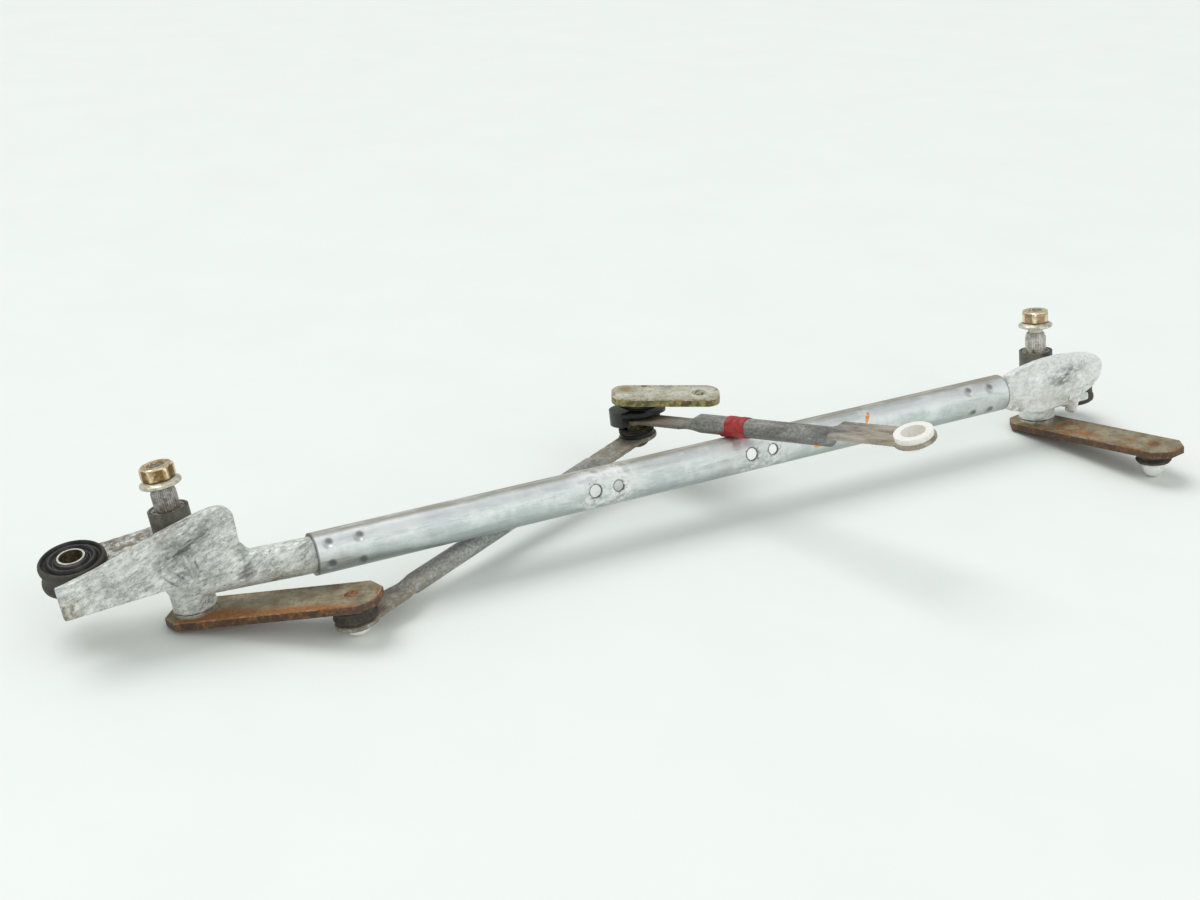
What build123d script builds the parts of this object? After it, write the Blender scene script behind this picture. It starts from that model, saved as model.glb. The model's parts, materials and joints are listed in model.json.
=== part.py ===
from build123d import *
import os
from math import cos, radians

# Wiper linkage lying on a table: a tube frame with a cast pivot housing at each end, a lever on
# each spindle, and two push rods that meet at a loose crank plate. Lengths are in mm.

# Layout on the table, with X along the line of the two pivots and Z up
pivot_spacing = 608.6
left_foot_height = 8.8
right_foot_height = 8.2
left_lean = (-0.1197, 0.1400, 0.9829)
right_lean = (-0.0287, 0.1531, 0.9878)
tube_start = (65.0, -17.6, 35.0)
tube_stop = 44.0
tube_finish = (pivot_spacing - tube_stop, -6.7, 37.8)
crank_joint = (318.0, 65.5)
lower_ball_height = 26.8
right_rod_reach = (77.1, -200.4, 45.0)

# Support tube
tube_d = 25.0
tube_wall = 1.8
flat_from = 148.0
flat_to = 356.0
flat_depth = 0.8
flat_tilt = 18.0
large_hole_d = 7.8
small_hole_d = 6.5
hole_places = ((177.0, large_hole_d), (193.0, small_hole_d), (289.5, large_hole_d), (305.5, small_hole_d))
rear_slot_height = 15.0
rear_slot_shift = 12.5
rear_slot_side_room = 7.0

# Spindles, bushes and caps
spindle_d = 14.4
running_gap = 0.05
bush_wall = 1.9
bush_length = 14.0
barrel_d = 25.0
barrel_foot_d = 25.6
neck_d = 20.0
thrust_washer_t = 2.2
thrust_gap = 0.1
cap_d = 23.0
cap_wall = 1.4
cap_floor_t = 1.2
cap_rim = 1.3
ring_t = 0.8
ring_gap = 0.35
ring_side_gap = 0.5
ring_teeth = 8
ring_slot = 1.3
knurl_top_d = 12.2
knurl_height = 13.0
knurl_shoulder = 3.2
thread_d = 10.0
left_cap_top = 61.6
left_deck_height = 47.0
left_washer_height = 76.8
right_cap_top = 49.4
right_deck_height = 36.5
right_washer_height = 67.6
washer_d = 23.2
washer_t = 2.9
washer_cone = 0.5
washer_edge = 0.8
washer_lip = 0.6
nut_across_flats = 17.0
nut_height = 8.0
nut_chamfer = 1.1
left_nut_turn = -8.0
right_nut_turn = -14.0
thread_recess = 1.0

# Levers and their ball studs
lever_width = 32.0
lever_t = 5.0
left_lever_end = 17.0
right_lever_end = 18.6
lever_corner = 9.0
lever_edge = 0.5
left_lever_length = 92.4
left_lever_angle = -34.0
right_lever_length = 96.6
right_lever_angle = -78.2
ball_d = 16.0
ball_drop = 10.0
stud_neck_d = 8.4
stud_collar_d = 13.0
stud_collar_t = 1.0
stud_shank_d = 8.0
left_boot = (26.0, 21.8, 9.8)
right_boot = (23.6, 18.0, 7.4)
boot_waist = 1.2
boot_bore_d = 18.0

# Rod ends and sockets, measured from the centre of the ball
socket_gap = 0.05
socket_wall = 1.9
socket_ring_d = 23.4
left_outer_ring_d = 20.8
right_outer_ring_top = 3.2
socket_ring_top = 2.2
end_plate_t = 3.0
end_plate_d = 26.0
plate_below_ball = 0.2
rod_d = 12.6
tongue_width = 19.5
left_tongue_inner = 40.0
left_tongue_outer = 34.0
right_tongue_inner = 44.0
right_tongue_outer = 56.0
flare_length = 12.0
right_outer_flare = 4.0
right_end_twist = 15.0
rod_rise = 1.5
tape_from = 80.0
tape_length = 15.5
tape_t = 0.35

# Crank plate and its double ball stud
crank_ball_d = 15.0
ball_spacing = 15.8
crank_ball_drop = 9.2
crank_plate_t = 5.0
crank_plate_width = 26.0
crank_stud_end = 17.5
crank_motor_end = 13.8
crank_radius = 41.0
crank_corner_r = 9.5
crank_turn = -26.5
motor_hole_d = 10.0
upper_plate_below_ball = 3.3
upper_socket_hole_d = 13.0
upper_socket_skirt_d = 15.6
upper_socket_mouth_d = 14.6
upper_boot_d = 29.0
upper_boot_height = 3.0
socket_block_d = 38.0
socket_block_front = 3.0
socket_block_low = -6.8
socket_block_top = 3.4
lower_boot_d = 24.0
lower_boot_room = 12.2

# Left housing
wall_t = 6.0
left_wall_front = -23.0
left_wall_low = 25.0
left_wall_foot = ((-71.0, 25.0), (29.0, 22.0))
left_ridge = ((-71.0, 44.0), (-46.0, 48.0), (-19.0, 54.5), (6.0, 59.5), (20.0, 61.0))
left_ridge_start = 0.1
left_fin_arc = ((26.5, 59.3), (30.2, 54.0))
left_flare_d = 44.0
left_flare_foot = 7.0
left_flare_back = 11.0
flare_bulge = 0.29
foot_rim = 2.0
foot_step = 0.6
left_core_x = (-16.0, 27.5)
left_core_low = 21.0
left_arm_root = (5.0, -8.2, 19.6)
arm_elbow = 3.0
spigot_slack = 0.05
spigot_in_tube = 26.0
web_t = 6.0
web_tilt = 12.0
left_eye = (-56.0, 16.0, 35.5)
left_web_end = -4.0

# Right housing
right_wall_front = -21.0
right_wall_outline = (
    (-42.0, 43.0), (-28.0, 46.5), (-10.0, 48.5), (8.0, 48.5), (25.0, 45.0), (39.0, 38.5), (42.5, 31.0),
    (39.0, 24.0), (30.5, 18.0), (10.0, 13.0), (-11.0, 10.2), (-28.0, 13.6), (-42.0, 18.0),
)
right_core_x = (-20.0, 13.0)
right_core_low = 14.0
right_core_drop = 2.0
right_spigot_out = 20.0
right_eye = (33.0, 6.0, 9.5)
post_d = 8.6
post_place = (18.6, -15.0)
post_foot = 3.5
lug_x = (-10.0, -4.0)
lug_y = (-14.5, -8.5)
lug_z = (2.6, 6.6)

# Grommets and their sleeves
grommet_d = 38.0
grommet_waist_d = 26.0
grommet_flange_t = 5.0
grommet_hole_d = 15.6
grommet_ring_d = 29.0
grommet_ring_depth = 1.4
sleeve_wall = 1.2
sleeve_stand = 0.8
grommet_edge = 1.2
eye_d = 35.0
eye_inset = 3.0


def frame_at(origin, z_dir, x_dir=(1, 0, 0)):
    """Location with its Z along z_dir and its X as near to x_dir as it can be."""
    z = Vector(*z_dir).normalized()
    x = Vector(*x_dir)
    x = (x - z * x.dot(z)).normalized()
    return Plane(origin=origin, x_dir=x, z_dir=z).location


left_place = frame_at((0, 0, left_foot_height), left_lean)
right_place = frame_at((pivot_spacing, 0, right_foot_height), right_lean)
tube_line = Vector(*tube_finish) - Vector(*tube_start)
tube_length = tube_line.length
tube_place = frame_at(tube_start, tuple(tube_line), (0, 0, 1))
left_lever_place = left_place * Rot(0, 0, left_lever_angle)
right_lever_place = right_place * Rot(0, 0, right_lever_angle)
lever_top = -thrust_washer_t
lever_under = lever_top - lever_t
ball_height = lever_under - ball_drop
ball_r = ball_d / 2
left_ball = (left_lever_place * Pos(left_lever_length, 0, ball_height)).position
right_ball = (right_lever_place * Pos(right_lever_length, 0, ball_height)).position
lower_ball = Vector(*crank_joint, lower_ball_height)
upper_ball = lower_ball + Vector(0, 0, ball_spacing)
crank_under = upper_ball.Z + crank_ball_drop
crank_ball_r = crank_ball_d / 2
crank_place = Pos(lower_ball.X, lower_ball.Y, 0) * Rot(0, 0, crank_turn)
left_rod_line = lower_ball - left_ball
left_rod_length = left_rod_line.length
left_rod_axis = left_rod_line.cross(Vector(*left_lean)).cross(left_rod_line)
left_rod_place = frame_at(left_ball, tuple(left_rod_axis), tuple(left_rod_line))
right_rod_line = Vector(*right_rod_reach)
right_rod_length = right_rod_line.length
right_rod_axis = tube_line.cross(right_rod_line) * -1
right_rod_place = frame_at(upper_ball, tuple(right_rod_axis), tuple(right_rod_line))
right_rod_mid = -upper_plate_below_ball - end_plate_t / 2 + rod_rise
right_outer_height = right_rod_mid + rod_d / 2 + plate_below_ball
spigot_d = tube_d - 2 * tube_wall - 2 * spigot_slack
bush_r = spindle_d / 2 + running_gap
bore_r = bush_r + bush_wall


def cylinder(d, low, high):
    """Upright cylinder of diameter d between two heights."""
    return Pos(0, 0, low) * Cylinder(d / 2, high - low, align=(Align.CENTER, Align.CENTER, Align.MIN))


def block(x_range, y_range, z_range):
    """Box between two corners given as ranges."""
    size = [high - low for low, high in (x_range, y_range, z_range)]
    corner = Align.MIN
    return Pos(x_range[0], y_range[0], z_range[0]) * Box(*size, align=(corner, corner, corner))


def turned(points):
    """Solid of revolution about Z from a closed outline of radius and height."""
    outline = Polyline(*[(r, 0, z) for r, z in points], close=True)
    return revolve(make_face(outline), Axis.Z, 360)


# Support tube

def support_tube():
    tube = cylinder(tube_d, 0, tube_length) - cylinder(tube_d - 2 * tube_wall, -1, tube_length + 1)
    # X is up and Y points to the side of the levers in the tube's own frame
    tilt = Rot(0, 0, -flat_tilt)
    flat = block((-tube_d, tube_d), (tube_d / 2 - flat_depth, tube_d), (flat_from, flat_to))
    tube -= tilt * flat
    for along, d in hole_places:
        front = Pos(0, 0, along) * Rot(-90, 0, 0) * cylinder(d, 0, tube_d)
        tube -= tilt * front
    for first, last in ((0, 1), (2, 3)):
        low = hole_places[first][0] + rear_slot_shift - rear_slot_side_room
        high = hole_places[last][0] + rear_slot_shift + rear_slot_side_room
        tube -= tilt * block((-rear_slot_height, 0), (-tube_d, -tube_d / 4), (low, high))
    return tube_place * tube


# Spindle group, drawn in the spindle's own frame with its foot at zero

def bush(low):
    return cylinder(2 * bore_r, low, low + bush_length) - cylinder(2 * bush_r, low - 1, low + bush_length + 1)


def spindle(cap_top, washer_height):
    knurl_top = cap_top + knurl_height
    thread_top = washer_height + washer_t + nut_height - thread_recess
    r = spindle_d / 2
    points = [
        (0, lever_under), (r, lever_under), (r, knurl_top - knurl_shoulder), (knurl_top_d / 2, knurl_top),
        (thread_d / 2, knurl_top + washer_edge), (thread_d / 2, thread_top), (0, thread_top),
    ]
    return turned(points)


def thrust_washer():
    return cylinder(barrel_foot_d, lever_top, 0) - cylinder(spindle_d, lever_top - 1, 1)


def dust_cap(cap_top, deck):
    neck_top = cap_top - cap_rim - cap_floor_t
    cap = cylinder(cap_d, deck, cap_top)
    cap -= cylinder(neck_d, deck - 1, neck_top)
    cap -= cylinder(cap_d - 2 * cap_wall, neck_top + cap_floor_t, cap_top + 1)
    return cap - cylinder(spindle_d + 4 * ring_gap, deck - 1, cap_top + 1)


def retaining_ring(cap_top):
    low = cap_top - cap_rim + ring_gap
    outer = cap_d - 2 * cap_wall - 2 * ring_side_gap
    ring = cylinder(outer, low, low + ring_t) - cylinder(spindle_d, low - 1, low + ring_t + 1)
    slot_to = spindle_d / 2 + (outer - spindle_d) / 4
    for number in range(ring_teeth):
        gap = block((0, slot_to), (-ring_slot / 2, ring_slot / 2), (low - 1, low + ring_t + 1))
        ring -= Rot(0, 0, 360 / ring_teeth * number) * gap
    return ring


def conical_washer(low):
    inner = thread_d / 2
    outer = washer_d / 2
    high = low + washer_t
    points = [
        (inner, low), (outer - washer_edge, low - washer_cone), (outer, low - washer_cone + washer_lip),
        (outer - washer_edge, low + washer_cone), (nut_across_flats / 2, high), (inner, high),
    ]
    return turned(points)


def arm_nut(washer_height, turn):
    low = washer_height + washer_t
    high = low + nut_height
    flat = nut_across_flats / 2
    corner = flat / cos(radians(30))
    hexagon = RegularPolygon(flat, 6, major_radius=False)
    nut = Pos(0, 0, low) * Rot(0, 0, turn) * extrude(hexagon, nut_height)
    points = [
        (0, low), (flat, low), (corner, low + nut_chamfer), (corner, high - nut_chamfer), (flat, high), (0, high),
    ]
    nut = nut & turned(points)
    return nut - cylinder(thread_d, low - 1, high + 1)


# Levers

def lever(length, end):
    half = lever_width / 2
    plate = block((-end, length + end), (-half, half), (lever_under, lever_top))
    plate = chamfer(plate.edges().filter_by(Axis.Z), lever_corner)
    plate = chamfer(plate.faces().sort_by(Axis.Z)[-1].edges(), lever_edge)
    plate -= cylinder(spindle_d, lever_under - 1, lever_top + 1)
    return plate - Pos(length, 0, 0) * cylinder(stud_shank_d, lever_under - 1, lever_top + 1)


def lever_ball_stud(length):
    stud = cylinder(stud_shank_d, lever_under, lever_top)
    stud += cylinder(stud_collar_d, lever_under - stud_collar_t, lever_under)
    stud += cylinder(stud_neck_d, ball_height, lever_under)
    stud += Pos(0, 0, ball_height) * Sphere(ball_r)
    return Pos(length, 0, 0) * stud


def boot(outer_d, inner_d, low, high):
    """Rubber ring with a waist and two lobes."""
    r = outer_d / 2
    middle = (low + high) / 2
    step = (high - low) / 4
    points = [
        (inner_d / 2, low), (r - boot_waist, low), (r, low + step), (r - boot_waist, middle),
        (r, high - step), (r - boot_waist, high), (inner_d / 2, high),
    ]
    return turned(points)


def lever_boot(length, sizes):
    outer_d, bore_d, height = sizes
    ring = boot(outer_d, bore_d, lever_under - height, lever_under)
    return Pos(length, 0, 0) * ring


# Rod ends, with the ball's centre at zero and the lever above

def socket_r(ball):
    """Outer radius of a cup round a ball of the given radius."""
    return ball + socket_gap + socket_wall


def socket_cup(ball, ring_d=socket_ring_d, ring_top=socket_ring_top):
    """Plastic cup under the end plate with its ring on top, open towards the lever."""
    dome_r = socket_r(ball)
    plate_top = -plate_below_ball
    cup = Sphere(dome_r) & block((-dome_r, dome_r), (-dome_r, dome_r), (-dome_r, plate_top))
    cup += cylinder(ring_d, plate_top, ring_top)
    return cup - Sphere(ball + socket_gap)


def inner_socket():
    """Collar over the right rod's inner end, open at both ends for the double stud."""
    plate_top = -upper_plate_below_ball
    low = plate_top - end_plate_t
    cup_d = 2 * socket_r(crank_ball_r)
    cup = cylinder(socket_block_d, 0, socket_ring_top)
    # Block round the back of the plate, clear of the tongue
    block_z = (socket_block_low, socket_block_top)
    behind = block((-socket_block_d, socket_block_front), (-socket_block_d, socket_block_d), block_z)
    cup += cylinder(socket_block_d, *block_z) & behind
    plate = cylinder(end_plate_d, low, plate_top)
    plate += block((0, socket_block_d), (-tongue_width / 2, tongue_width / 2), (low, plate_top))
    cup -= plate
    cup += cylinder(cup_d, low, 0) - cylinder(upper_socket_skirt_d, low - 1, plate_top)
    cup -= Sphere(crank_ball_r + socket_gap)
    cup -= cylinder(upper_socket_hole_d, socket_block_low - 1, 0)
    return cup - cylinder(upper_socket_mouth_d, 0, socket_block_top + 1)


def push_rod(length, axis, tongues, plate_tops, flares, twist=0):
    """Pressed rod along X: round in the middle, a flat tongue and an eye at each end."""
    round_start = tongues[0] + flares[0]
    round_end = length - tongues[1] - flares[1]
    rod = Pos(round_start, 0, axis) * Rot(0, 90, 0) * cylinder(rod_d, 0, round_end - round_start)
    ends = (
        (0, tongues[0], round_start, plate_tops[0], 0),
        (length, length - tongues[1], round_end, plate_tops[1], twist),
    )
    for x, tongue_end, round_from, top, turn in ends:
        end = Pos(x, 0, 0) * cylinder(end_plate_d, top - end_plate_t, top)
        end += block(sorted((x, tongue_end)), (-tongue_width / 2, tongue_width / 2), (top - end_plate_t, top))
        flat_end = Plane(origin=(tongue_end, 0, top - end_plate_t / 2), x_dir=(0, 1, 0), z_dir=(1, 0, 0))
        round_face = Plane(origin=(round_from, 0, axis), x_dir=(0, 1, 0), z_dir=(1, 0, 0))
        end += loft([flat_end * Rectangle(tongue_width, end_plate_t), round_face * Circle(rod_d / 2)])
        rod += Pos(0, 0, axis) * Rot(turn, 0, 0) * Pos(0, 0, -axis) * end
    return rod


def left_rod():
    top = -plate_below_ball
    tongues = (left_tongue_outer, left_tongue_inner)
    rod = push_rod(left_rod_length, top - end_plate_t / 2, tongues, (top, top), (flare_length, flare_length))
    for x, ball in ((0, ball_r), (left_rod_length, crank_ball_r)):
        rod -= Pos(x, 0, 0) * Sphere(socket_r(ball))
    return left_rod_place * rod


def right_rod():
    inner_top = -upper_plate_below_ball
    outer_top = right_outer_height - plate_below_ball
    tongues = (right_tongue_inner, right_tongue_outer)
    flares = (flare_length, right_outer_flare)
    rod = push_rod(right_rod_length, right_rod_mid, tongues, (inner_top, outer_top), flares, right_end_twist)
    rod -= cylinder(2 * socket_r(crank_ball_r), inner_top - end_plate_t - 1, inner_top + 1)
    return right_rod_place * rod - right_outer_place() * Sphere(socket_r(ball_r))


def right_outer_place():
    """Place of the empty socket's ball centre at the rod's free end, turned with the twisted end."""
    above_axis = right_outer_height - right_rod_mid
    turned_end = Rot(right_end_twist, 0, 0) * Pos(right_rod_length, 0, above_axis)
    return right_rod_place * Pos(0, 0, right_rod_mid) * turned_end


def marker_tape():
    band = cylinder(rod_d + 2 * tape_t, 0, tape_length) - cylinder(rod_d, -1, tape_length + 1)
    return right_rod_place * Pos(tape_from, 0, right_rod_mid) * Rot(0, 90, 0) * band


# Crank

def crank_plate():
    x_range = (-crank_stud_end, crank_radius + crank_motor_end)
    half = crank_plate_width / 2
    plate = block(x_range, (-half, half), (crank_under, crank_under + crank_plate_t))
    plate = fillet(plate.edges().filter_by(Axis.Z), crank_corner_r)
    plate = chamfer(plate.faces().sort_by(Axis.Z)[-1].edges(), lever_edge)
    low, high = crank_under - 1, crank_under + crank_plate_t + 1
    plate -= cylinder(stud_shank_d, low, high)
    plate -= Pos(crank_radius, 0, 0) * cylinder(motor_hole_d, low, high)
    return crank_place * plate


def crank_ball_stud():
    stud = cylinder(stud_shank_d, lower_ball.Z, crank_under + crank_plate_t)
    stud += cylinder(stud_collar_d, crank_under - stud_collar_t, crank_under)
    for ball in (lower_ball, upper_ball):
        stud += Pos(0, 0, ball.Z) * Sphere(crank_ball_r)
    return crank_place * stud


def upper_crank_boot():
    ring = boot(upper_boot_d, stud_collar_d, crank_under - upper_boot_height, crank_under)
    return crank_place * ring


def lower_crank_boot():
    ring = boot(lower_boot_d, boot_bore_d, socket_ring_top, socket_ring_top + ball_spacing - lower_boot_room)
    return left_rod_place * Pos(left_rod_length, 0, 0) * ring


# Grommets

def grommet():
    """Rubber grommet about Z with its waist in the eye plate."""
    low = -grommet_flange_t
    high = web_t + grommet_flange_t
    body = cylinder(grommet_d, low, 0) + cylinder(grommet_waist_d, low, high)
    body += cylinder(grommet_d, web_t, high)
    body = chamfer(body.edges().filter_by(GeomType.CIRCLE).sort_by(Axis.Z)[-1], grommet_edge)
    groove = cylinder(grommet_ring_d, high - grommet_ring_depth, high + 1)
    groove -= cylinder(grommet_ring_d - 4 * grommet_ring_depth, high - grommet_ring_depth - 1, high + 2)
    return body - groove - cylinder(grommet_hole_d, low - 1, high + 1)


def sleeve():
    low = -grommet_flange_t - sleeve_stand
    high = web_t + grommet_flange_t + sleeve_stand
    return cylinder(grommet_hole_d, low, high) - cylinder(grommet_hole_d - 2 * sleeve_wall, low - 1, high + 1)


def left_eye_place():
    x, y, z = left_eye
    return left_place * Pos(x, y, z) * Rot(web_tilt, 0, 0)


def right_eye_place():
    x, y, z = right_eye
    return right_place * Pos(x, y, z)


# Cast housings

def spigot(start, finish):
    return tube_place * cylinder(spigot_d, start, finish)


def upright_wall(outline, front):
    """Wall in the spindle's frame, drawn as X and height and drawn back from its front face."""
    face = make_face(outline)
    return Pos(0, front, 0) * extrude(face, amount=wall_t, dir=(0, 1, 0))


def left_wall_line():
    """Straight foot and sides, with the ridge as one curve up to the fin's round corner."""
    foot_left, foot_right = [(x, 0, z) for x, z in left_wall_foot]
    ridge = [(x, 0, z) for x, z in left_ridge]
    curve = Spline(*ridge, tangents=((1, 0, left_ridge_start), (1, 0, 0)), tangent_scalars=(1, 1))
    corner = ThreePointArc(ridge[-1], *[(x, 0, z) for x, z in left_fin_arc])
    sides = [Line(foot_left, ridge[0]), Line(corner @ 1, foot_right)]
    return Wire([sides[0], curve, corner, sides[1], Line(foot_right, foot_left)])


def right_wall_line():
    """Straight edge at the tube and one curve round the ear."""
    points = [(x, 0, z) for x, z in right_wall_outline]
    return Wire([Spline(*points), Line(points[-1], points[0])])


def flared_barrel(flare_d, foot, top):
    """Barrel that opens like a trumpet towards the casting's walls."""
    r = barrel_d / 2
    foot_r = barrel_foot_d / 2
    big = flare_d / 2
    arc_middle = (r + (big - r) * flare_bulge, top - (top - foot) * flare_bulge)
    with BuildSketch(Plane.XZ) as outline:
        with BuildLine():
            foot_line = [(0, thrust_gap), (foot_r, thrust_gap), (foot_r, foot_rim), (r, foot_rim + foot_step)]
            Polyline(*foot_line, (r, foot))
            ThreePointArc((r, foot), arc_middle, (big, top))
            Polyline((big, top), (0, top), (0, thrust_gap))
        make_face()
    return revolve(outline.sketch, Axis.Z, 360)


def left_pivot_housing():
    low, deck = left_wall_low, left_deck_height
    casting = upright_wall(left_wall_line(), left_wall_front)
    # The flare fades out behind the barrel
    keep = block((-left_flare_d, left_flare_d), (left_wall_front, left_flare_back), (0, low))
    casting += flared_barrel(left_flare_d, left_flare_foot, low) & keep
    casting += cylinder(barrel_d, thrust_gap, deck)
    casting += cylinder(neck_d, deck, left_cap_top - cap_rim - cap_floor_t)
    # Core that joins the barrel to the wall and the arm
    casting += block(left_core_x, (left_wall_front + wall_t / 2, 0), (left_core_low, deck))
    # Sloping web behind the wall, with the eye of the grommet at its end
    x, y, z = left_eye
    slab = block((0, left_web_end - x), (left_wall_front - y + wall_t / 2, eye_d / 2 - eye_inset), (0, web_t))
    slab = slab + cylinder(eye_d, 0, web_t)
    casting += Pos(x, y, z) * Rot(web_tilt, 0, 0) * slab
    casting = left_place * casting
    casting += left_arm()
    casting -= left_place * cylinder(2 * bore_r, -1, left_cap_top)
    return casting - left_eye_place() * cylinder(grommet_waist_d, -web_t, 2 * web_t)


def left_arm():
    """Round arm from the barrel to the tube, with its spigot in the tube."""
    root = (left_place * Pos(*left_arm_root)).position
    elbow = (tube_place * Pos(0, 0, -arm_elbow)).position
    line = elbow - root
    arm = frame_at(root, tuple(line), (0, 0, 1)) * cylinder(spigot_d, 0, line.length)
    return arm + Pos(*elbow) * Sphere(spigot_d / 2) + spigot(-arm_elbow, spigot_in_tube)


def right_pivot_housing():
    casting = upright_wall(right_wall_line(), right_wall_front)
    casting += cylinder(barrel_d, thrust_gap, right_deck_height)
    casting += cylinder(barrel_foot_d, thrust_gap, foot_rim)
    casting += cylinder(neck_d, right_deck_height, right_cap_top - cap_rim - cap_floor_t)
    # Core that joins the barrel to the wall
    core_z = (right_core_low, right_deck_height - right_core_drop)
    casting += block(right_core_x, (right_wall_front + wall_t / 2, 0), core_z)
    # Web behind the wall, with the eye of the grommet and the post
    x, y, z = right_eye
    casting += block((0, x), (right_wall_front + wall_t / 2, y + eye_d / 2 - eye_inset), (z, z + web_t))
    casting += Pos(x, y, z) * cylinder(eye_d, 0, web_t)
    casting += Pos(*post_place, 0) * cylinder(post_d, post_foot, z + web_t)
    casting += block(lug_x, lug_y, lug_z)
    casting = right_place * casting
    casting += spigot(tube_length - spigot_in_tube, tube_length + right_spigot_out)
    casting -= right_place * cylinder(2 * bore_r, -1, right_cap_top)
    return casting - right_eye_place() * cylinder(grommet_waist_d, -web_t, 2 * web_t)


def build_nodes():
    nodes = {
        "support_tube": support_tube(),
        "left_pivot_housing": left_pivot_housing(),
        "right_pivot_housing": right_pivot_housing(),
    }
    sides = (
        ("left", left_place, (left_deck_height, left_cap_top, left_washer_height), left_nut_turn,
         left_lever_place, left_lever_length, left_lever_end, left_boot, left_eye_place()),
        ("right", right_place, (right_deck_height, right_cap_top, right_washer_height), right_nut_turn,
         right_lever_place, right_lever_length, right_lever_end, right_boot, right_eye_place()),
    )
    for side, place, heights, nut_turn, lever_place, length, lever_end, boot_sizes, eye_place in sides:
        deck, cap_top, washer_height = heights
        nodes[side + "_lower_bush"] = place * bush(thrust_gap)
        nodes[side + "_upper_bush"] = place * bush(cap_top - cap_rim - cap_floor_t - bush_length)
        nodes[side + "_dust_cap"] = place * dust_cap(cap_top, deck)
        nodes[side + "_grommet"] = eye_place * grommet()
        nodes[side + "_grommet_sleeve"] = eye_place * sleeve()
        nodes[side + "_spindle"] = place * spindle(cap_top, washer_height)
        nodes[side + "_thrust_washer"] = place * thrust_washer()
        nodes[side + "_retaining_ring"] = place * retaining_ring(cap_top)
        nodes[side + "_conical_washer"] = place * conical_washer(washer_height)
        nodes[side + "_arm_nut"] = place * arm_nut(washer_height, nut_turn)
        nodes[side + "_lever"] = lever_place * lever(length, lever_end)
        nodes[side + "_ball_stud"] = lever_place * lever_ball_stud(length)
        nodes[side + "_ball_boot"] = lever_place * lever_boot(length, boot_sizes)
    nodes["left_rod"] = left_rod()
    nodes["left_rod_outer_socket"] = left_rod_place * socket_cup(ball_r, left_outer_ring_d)
    nodes["left_rod_inner_socket"] = left_rod_place * Pos(left_rod_length, 0, 0) * socket_cup(crank_ball_r)
    nodes["lower_crank_boot"] = lower_crank_boot()
    nodes["crank_plate"] = crank_plate()
    nodes["crank_ball_stud"] = crank_ball_stud()
    nodes["upper_crank_boot"] = upper_crank_boot()
    nodes["right_rod"] = right_rod()
    nodes["right_rod_inner_socket"] = right_rod_place * inner_socket()
    nodes["right_rod_outer_socket"] = right_outer_place() * socket_cup(ball_r, ring_top=right_outer_ring_top)
    nodes["marker_tape"] = marker_tape()
    return nodes


def table_shift(nodes):
    """Move that puts the middle of the whole part's footprint at the origin, standing on Z = 0."""
    box = Compound([solid for node in nodes.values() for solid in node.solids()]).bounding_box()
    return Vector(-(box.min.X + box.max.X) / 2, -(box.min.Y + box.max.Y) / 2, -box.min.Z)


os.makedirs("parts", exist_ok=True)
nodes = build_nodes()
shift = table_shift(nodes)
for name, shape in nodes.items():
    export_step(Pos(shift) * shape, "parts/" + name + ".step")
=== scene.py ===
import bpy
import json
from math import cos, radians, sin
from mathutils import Matrix, Vector

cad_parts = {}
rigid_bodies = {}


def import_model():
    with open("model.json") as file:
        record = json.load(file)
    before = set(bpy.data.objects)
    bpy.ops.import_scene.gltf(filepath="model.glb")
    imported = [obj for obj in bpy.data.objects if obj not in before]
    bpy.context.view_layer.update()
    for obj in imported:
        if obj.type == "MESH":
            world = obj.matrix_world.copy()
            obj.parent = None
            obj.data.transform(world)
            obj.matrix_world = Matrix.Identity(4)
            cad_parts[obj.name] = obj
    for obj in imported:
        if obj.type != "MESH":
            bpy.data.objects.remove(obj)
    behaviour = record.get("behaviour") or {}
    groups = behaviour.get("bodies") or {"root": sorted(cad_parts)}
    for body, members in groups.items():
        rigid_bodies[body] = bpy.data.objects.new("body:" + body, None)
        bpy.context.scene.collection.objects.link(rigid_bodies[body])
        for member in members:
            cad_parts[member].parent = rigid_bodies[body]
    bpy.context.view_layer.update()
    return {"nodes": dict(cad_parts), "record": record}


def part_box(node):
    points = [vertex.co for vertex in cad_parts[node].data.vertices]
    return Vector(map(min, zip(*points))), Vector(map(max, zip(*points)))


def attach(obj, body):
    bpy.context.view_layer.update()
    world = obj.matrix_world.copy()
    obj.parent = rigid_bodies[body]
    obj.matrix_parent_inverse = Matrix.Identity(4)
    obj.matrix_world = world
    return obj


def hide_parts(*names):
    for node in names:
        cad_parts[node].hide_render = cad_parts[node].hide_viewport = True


# Wiper linkage: a tube frame with two cast pivot housings, levers and push rods, on a pale table

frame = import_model()
nodes = frame["nodes"]
record = frame["record"]
joints = {joint["name"]: joint for joint in record["behaviour"]["joints"]}
mounts = {mount["name"]: mount for mount in record["mounts"]}
sides = ("left", "right")
print("frame loaded:", len(nodes), "nodes")


# Places on the object, read from the frame

def placeOf(origin, upward, along):
    # matrix with its z along upward and its x as near to along as it can be
    z = Vector(upward).normalized()
    x = Vector(along)
    x = (x - z * x.dot(z)).normalized()
    y = z.cross(x)
    turn = Matrix((x, y, z)).transposed().to_4x4()
    return Matrix.Translation(Vector(origin)) @ turn


def middleOf(node):
    low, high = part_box(node)
    return (Vector(low) + Vector(high)) / 2


def heightsOf(node, place):
    # lowest and highest point of a CAD node along the z of the given place
    toPlace = place.inverted() @ nodes[node].matrix_world
    heights = [(toPlace @ vertex.co).z for vertex in nodes[node].data.vertices]
    return min(heights), max(heights)


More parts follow.
